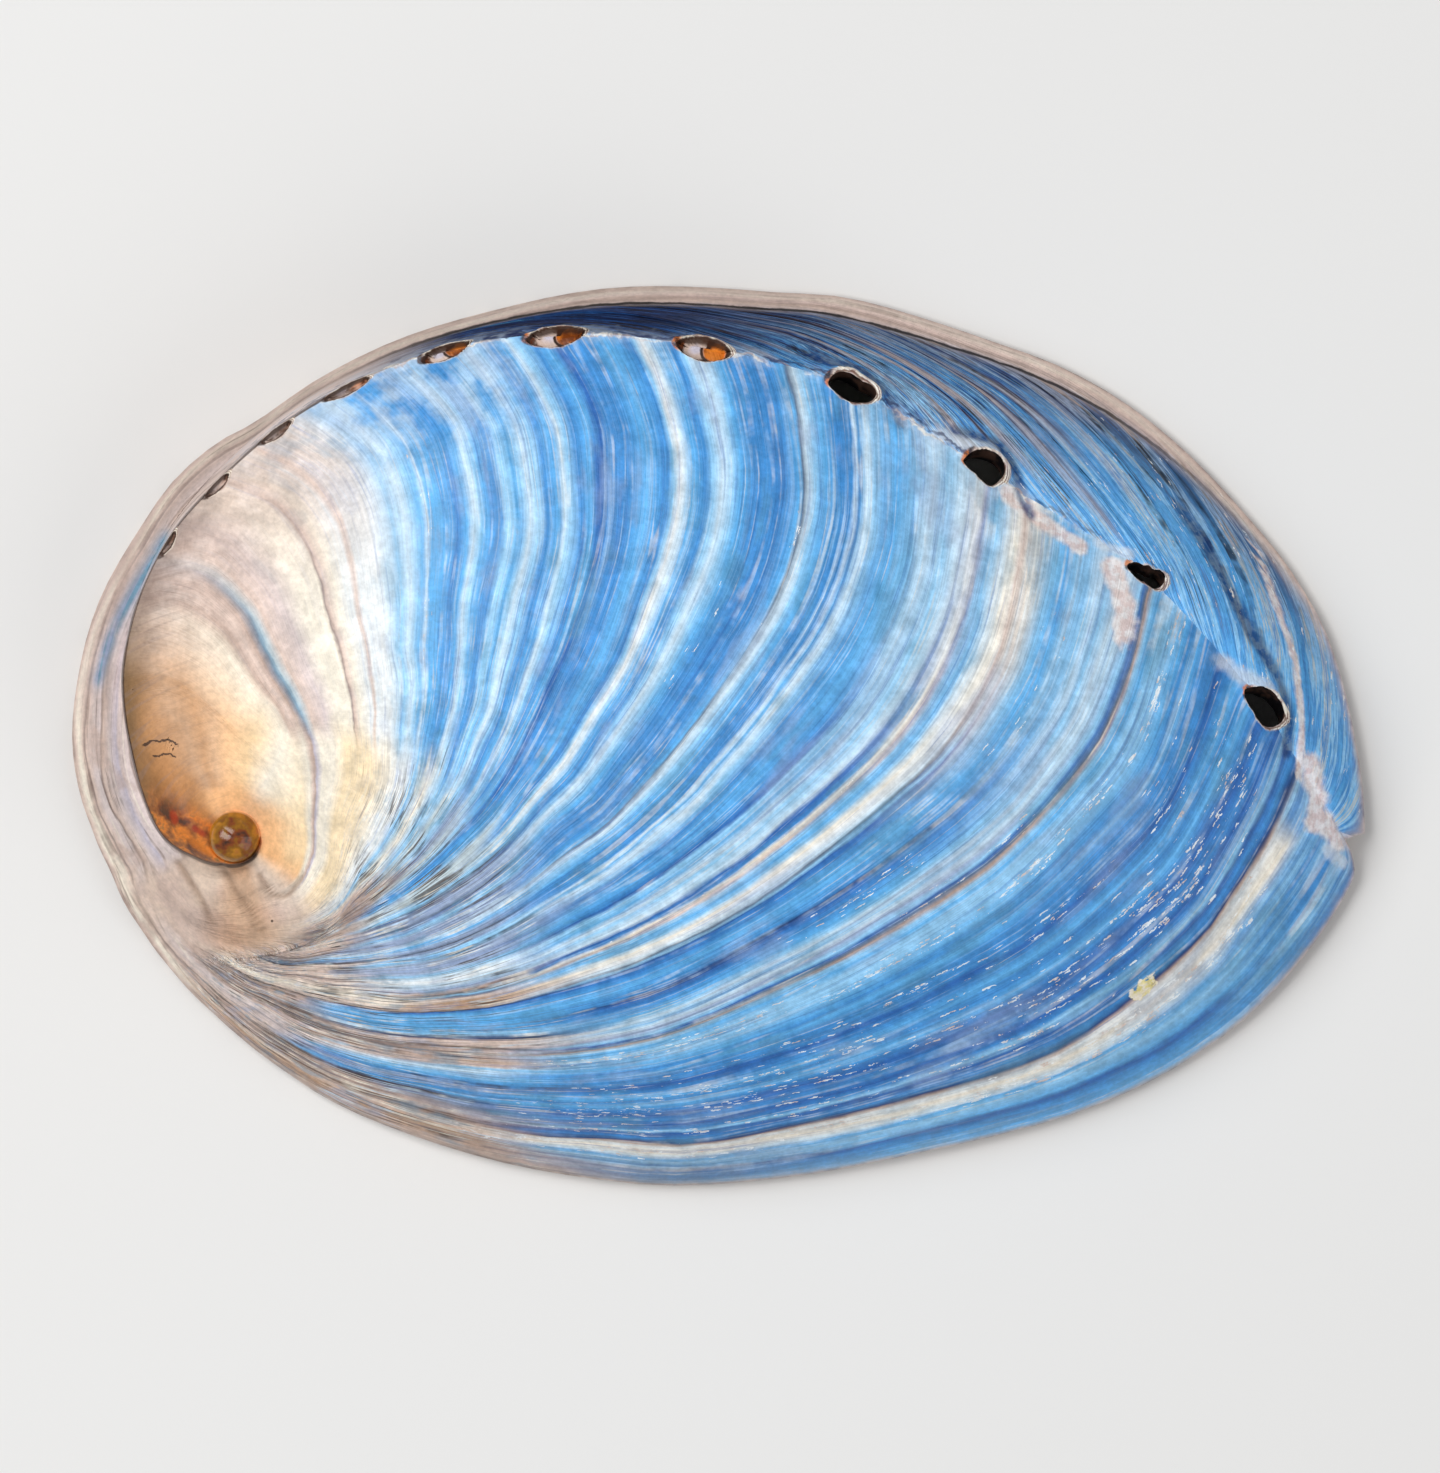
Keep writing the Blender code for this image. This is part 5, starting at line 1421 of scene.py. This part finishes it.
def hole_colour(w, colour):
    """Rims of the open holes, and the fills of the sealed ones."""
    away, u, v = w.value("hole_away"), w.value("hole_along"), w.value("hole_across")
    crumbs = w.specks(CRUMBS)
    ragged = away + (crumbs - 0.5) * 0.4
    rim = w.mix(crumbs.span(0.35, 0.65), SAND, CREAM)
    recent = w.value("age").span(46, 40)
    rim = w.mix(u.span(0.78, 0.98), rim, w.mix(crumbs.span(0.4, 0.58) * recent, UMBER, ORANGE))
    layers = w.streaks(away, u, 9, 0.6, 2)
    rim = w.mix(u.span(-0.72, -0.95, 0, 0.85), rim, w.mix(layers.span(0.42, 0.56), CHESTNUT, CREAM))
    width = v.span(0.5, -0.6, 0.12, 0.30) * abs(u).span(0.7, 1, 1, 1.6)
    rim_share = (ragged - width).span(0.14, -0.06, 0, 0.85)
    colour = w.mix(rim_share, colour, rim)
    colour = w.mix(ragged.near(0, 0.03, 0.10) * 0.8, colour, blend(0.4, UMBER, CHESTNUT))
    # Fills: a lilac disc towards the spire, and an orange one beside it.
    spots = w.specks(SPOTS)
    wobble = (spots - 0.5) * 0.9
    fill = w.ramp(spots, [(0.36, UMBER), (0.46, CHESTNUT), (0.54, BROWN), (0.64, SAND), (0.72, TAN)])
    lilac = ellipse(w, u, v, *LILAC_DISC) + wobble
    fill = w.mix(lilac.span(1.15, 0.9), fill, w.mix(lilac.span(0.3, 0.8), LILAC, blend(0.5, BEIGE, SAND)))
    orange = ellipse(w, u, v, *ORANGE_DISC) + wobble
    fill = w.mix(orange.near(1.1, 0.08, 0.12), fill, UMBER)
    fill = w.mix(orange.span(1.05, 0.85), fill, w.mix(spots.span(0.36, 0.56), CHESTNUT, ORANGE))
    # The fill darkens along its outer side: painted shadow under the pit's outer wall.
    fill = w.mix((v + wobble).span(-0.75, -1.05, 0, 0.85), fill, CHESTNUT)
    greyed = w.mix(spots.span(0.4, 0.62), BROWN, blend(0.5, TAUPE, BEIGE))
    fill = w.mix(w.value("age").span(44, 50, 0, 0.9), fill, greyed)
    sealed = 1 - w.value("hole_open")
    colour = w.mix(away.span(0, -0.08) * sealed, colour, fill)
    return w.mix(away.near(-0.06, 0.06, 0.12) * sealed * 0.9, colour, UMBER)


def nacre_colour(w):
    sheen = w.noise(w.place, 38, 3, 0.6)
    return w.mix(w.specks(FOLDS).span(0.42, 0.62, 0, 0.5), w.ramp(sheen, NACRE_SHEEN), tint(244, 238, 228))


def skin_colour(w):
    age, lag, mottle = w.value("age"), w.value("lag"), w.specks(SPOTS)
    colour = back_colour(w)
    colour = w.mix(w.value("wall"), colour, wall_colour(w, colour))
    colour = w.mix(w.value("strip"), colour, strip_colour(w))
    colour = edge_colour(w, spire_colour(w, colour))
    clumped = w.streaks(age, lag, 1.1, 0.22, 2, 0.6, 37).span(0.40, 0.60, 0.15, 0.95)
    flake = w.flecks(age, lag, 11, 1.45, w.value("chips") * clumped)
    colour = w.mix(flake * 0.85, colour, w.mix(mottle.span(0.38, 0.52), BEIGE, WHITE))
    colour = fine_marks(w, hole_colour(w, colour))
    colour = w.mix(w.value("nub"), colour, w.ramp(w.specks(DRIFT) * 0.5 + mottle * 0.5, NUB_AMBER))
    colour = w.lit(colour, w.specks(GRAIN).span(0.3, 0.7, 0.92, 1.08) * mottle.span(0.3, 0.7, 0.93, 1.07))
    colour = w.mix(w.value("lip") * 0.85, colour, w.mix(mottle.span(0.3, 0.7), BEIGE, TAUPE))
    colour = w.mix(w.value("nacre"), colour, nacre_colour(w))
    # The walls of the open holes are painted black and umber: painted shade inside the holes.
    return w.mix(w.value("shaded_bore"), colour, w.mix(mottle.span(0.45, 0.6), BLACK, UMBER))


def skin_roughness(w):
    rough = w.specks(SPOTS).span(0.3, 0.7, *SHELL_ROUGHNESS)
    for name, smooth in (("nub", GLASS_ROUGHNESS), ("nacre", NACRE_ROUGHNESS)):
        rough = w.mix(w.value(name), rough, (smooth, smooth, smooth, 1))
    return rough


def skin_relief(w):
    """Relief finer than the mesh: growth lines, threads across them and grain."""
    age, lag = w.value("age"), w.value("lag")
    lines = w.streaks(age, lag, 4, 0.06, 2, 0.7, 13)
    threads = w.streaks(lag, age, 1.9, 0.12, 2, 0.5, 17)
    relief = lines * 0.6 + threads * 0.22 + w.specks(GRAIN) * 0.22
    relief = relief * w.math("MAXIMUM", w.value("nacre"), w.value("nub")).span(0, 1, 1, 0.12)
    relief = relief * w.value("whorl").span(0, 1, 1, 0.35)
    return w.node("Bump", {"Strength": RELIEF_STRENGTH, "Distance": RELIEF_DEPTH, "Height": relief}, "Normal")


def shell_material():
    w = Wiring("shell_skin")
    # The nub is glassy and the steep wall is dull.
    gloss, nub = 1 - w.value("wall"), w.value("nub")
    w.shader.inputs["Specular IOR Level"].default_value = SHELL_SPECULAR
    finish = {
        "Base Color": skin_colour(w), "Roughness": skin_roughness(w), "Normal": skin_relief(w),
        "Specular IOR Level": gloss * SHELL_SPECULAR + nub * NUB_SPECULAR,
        "Coat Weight": gloss * SHELL_COAT + nub * NUB_COAT, "Coat Roughness": COAT_ROUGHNESS,
    }
    for name, value in finish.items():
        w.feed(w.shader.inputs[name], value)
    return w.material


def add_shell():
    points, values = shell_grid()
    body = add_closed_mesh("abalone_shell", points, values)
    cut_holes(body)
    body.data.materials.clear()
    body.data.materials.append(shell_material())
    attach(body, "root")
    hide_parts("shell")
    return body


def add_floor():
    corners = [(x * FLOOR_HALF, y * FLOOR_HALF, 0) for x, y in ((-1, -1), (1, -1), (1, 1), (-1, 1))]
    mesh = bpy.data.meshes.new("floor")
    mesh.from_pydata(corners, [], [(0, 1, 2, 3)])
    floor = linked("floor", mesh)
    material = bpy.data.materials.new("pale_floor")
    material.use_nodes = True
    shader = material.node_tree.nodes["Principled BSDF"]
    shader.inputs["Base Color"].default_value = FLOOR_COLOUR
    shader.inputs["Roughness"].default_value = FLOOR_ROUGHNESS
    mesh.materials.append(material)


def add_light(name, place, size, power):
    data = bpy.data.lights.new(name, "AREA")
    data.shape = "SQUARE"
    data.size = size
    data.energy = power
    lamp = linked(name, data)
    lamp.location = place
    lamp.rotation_euler = (-Vector(place)).to_track_quat("-Z", "Y").to_euler()


def add_studio():
    for name, (place, size, power) in LIGHTS.items():
        add_light(name, place, size, power)
    world = bpy.data.worlds.new("studio")
    world.use_nodes = True
    background = world.node_tree.nodes["Background"]
    background.inputs["Color"].default_value = SKY_LIGHT
    background.inputs["Strength"].default_value = SKY_STRENGTH
    bpy.context.scene.world = world
    bpy.context.scene.view_settings.view_transform = "Standard"
    camera = bpy.data.cameras.new("camera")
    camera.lens = CAMERA_LENS
    camera.sensor_width = CAMERA_SENSOR
    eye = linked("camera", camera)
    eye.location = (0, 0, CAMERA_HEIGHT)
    bpy.context.scene.camera = eye


add_shell()
add_floor()
add_studio()
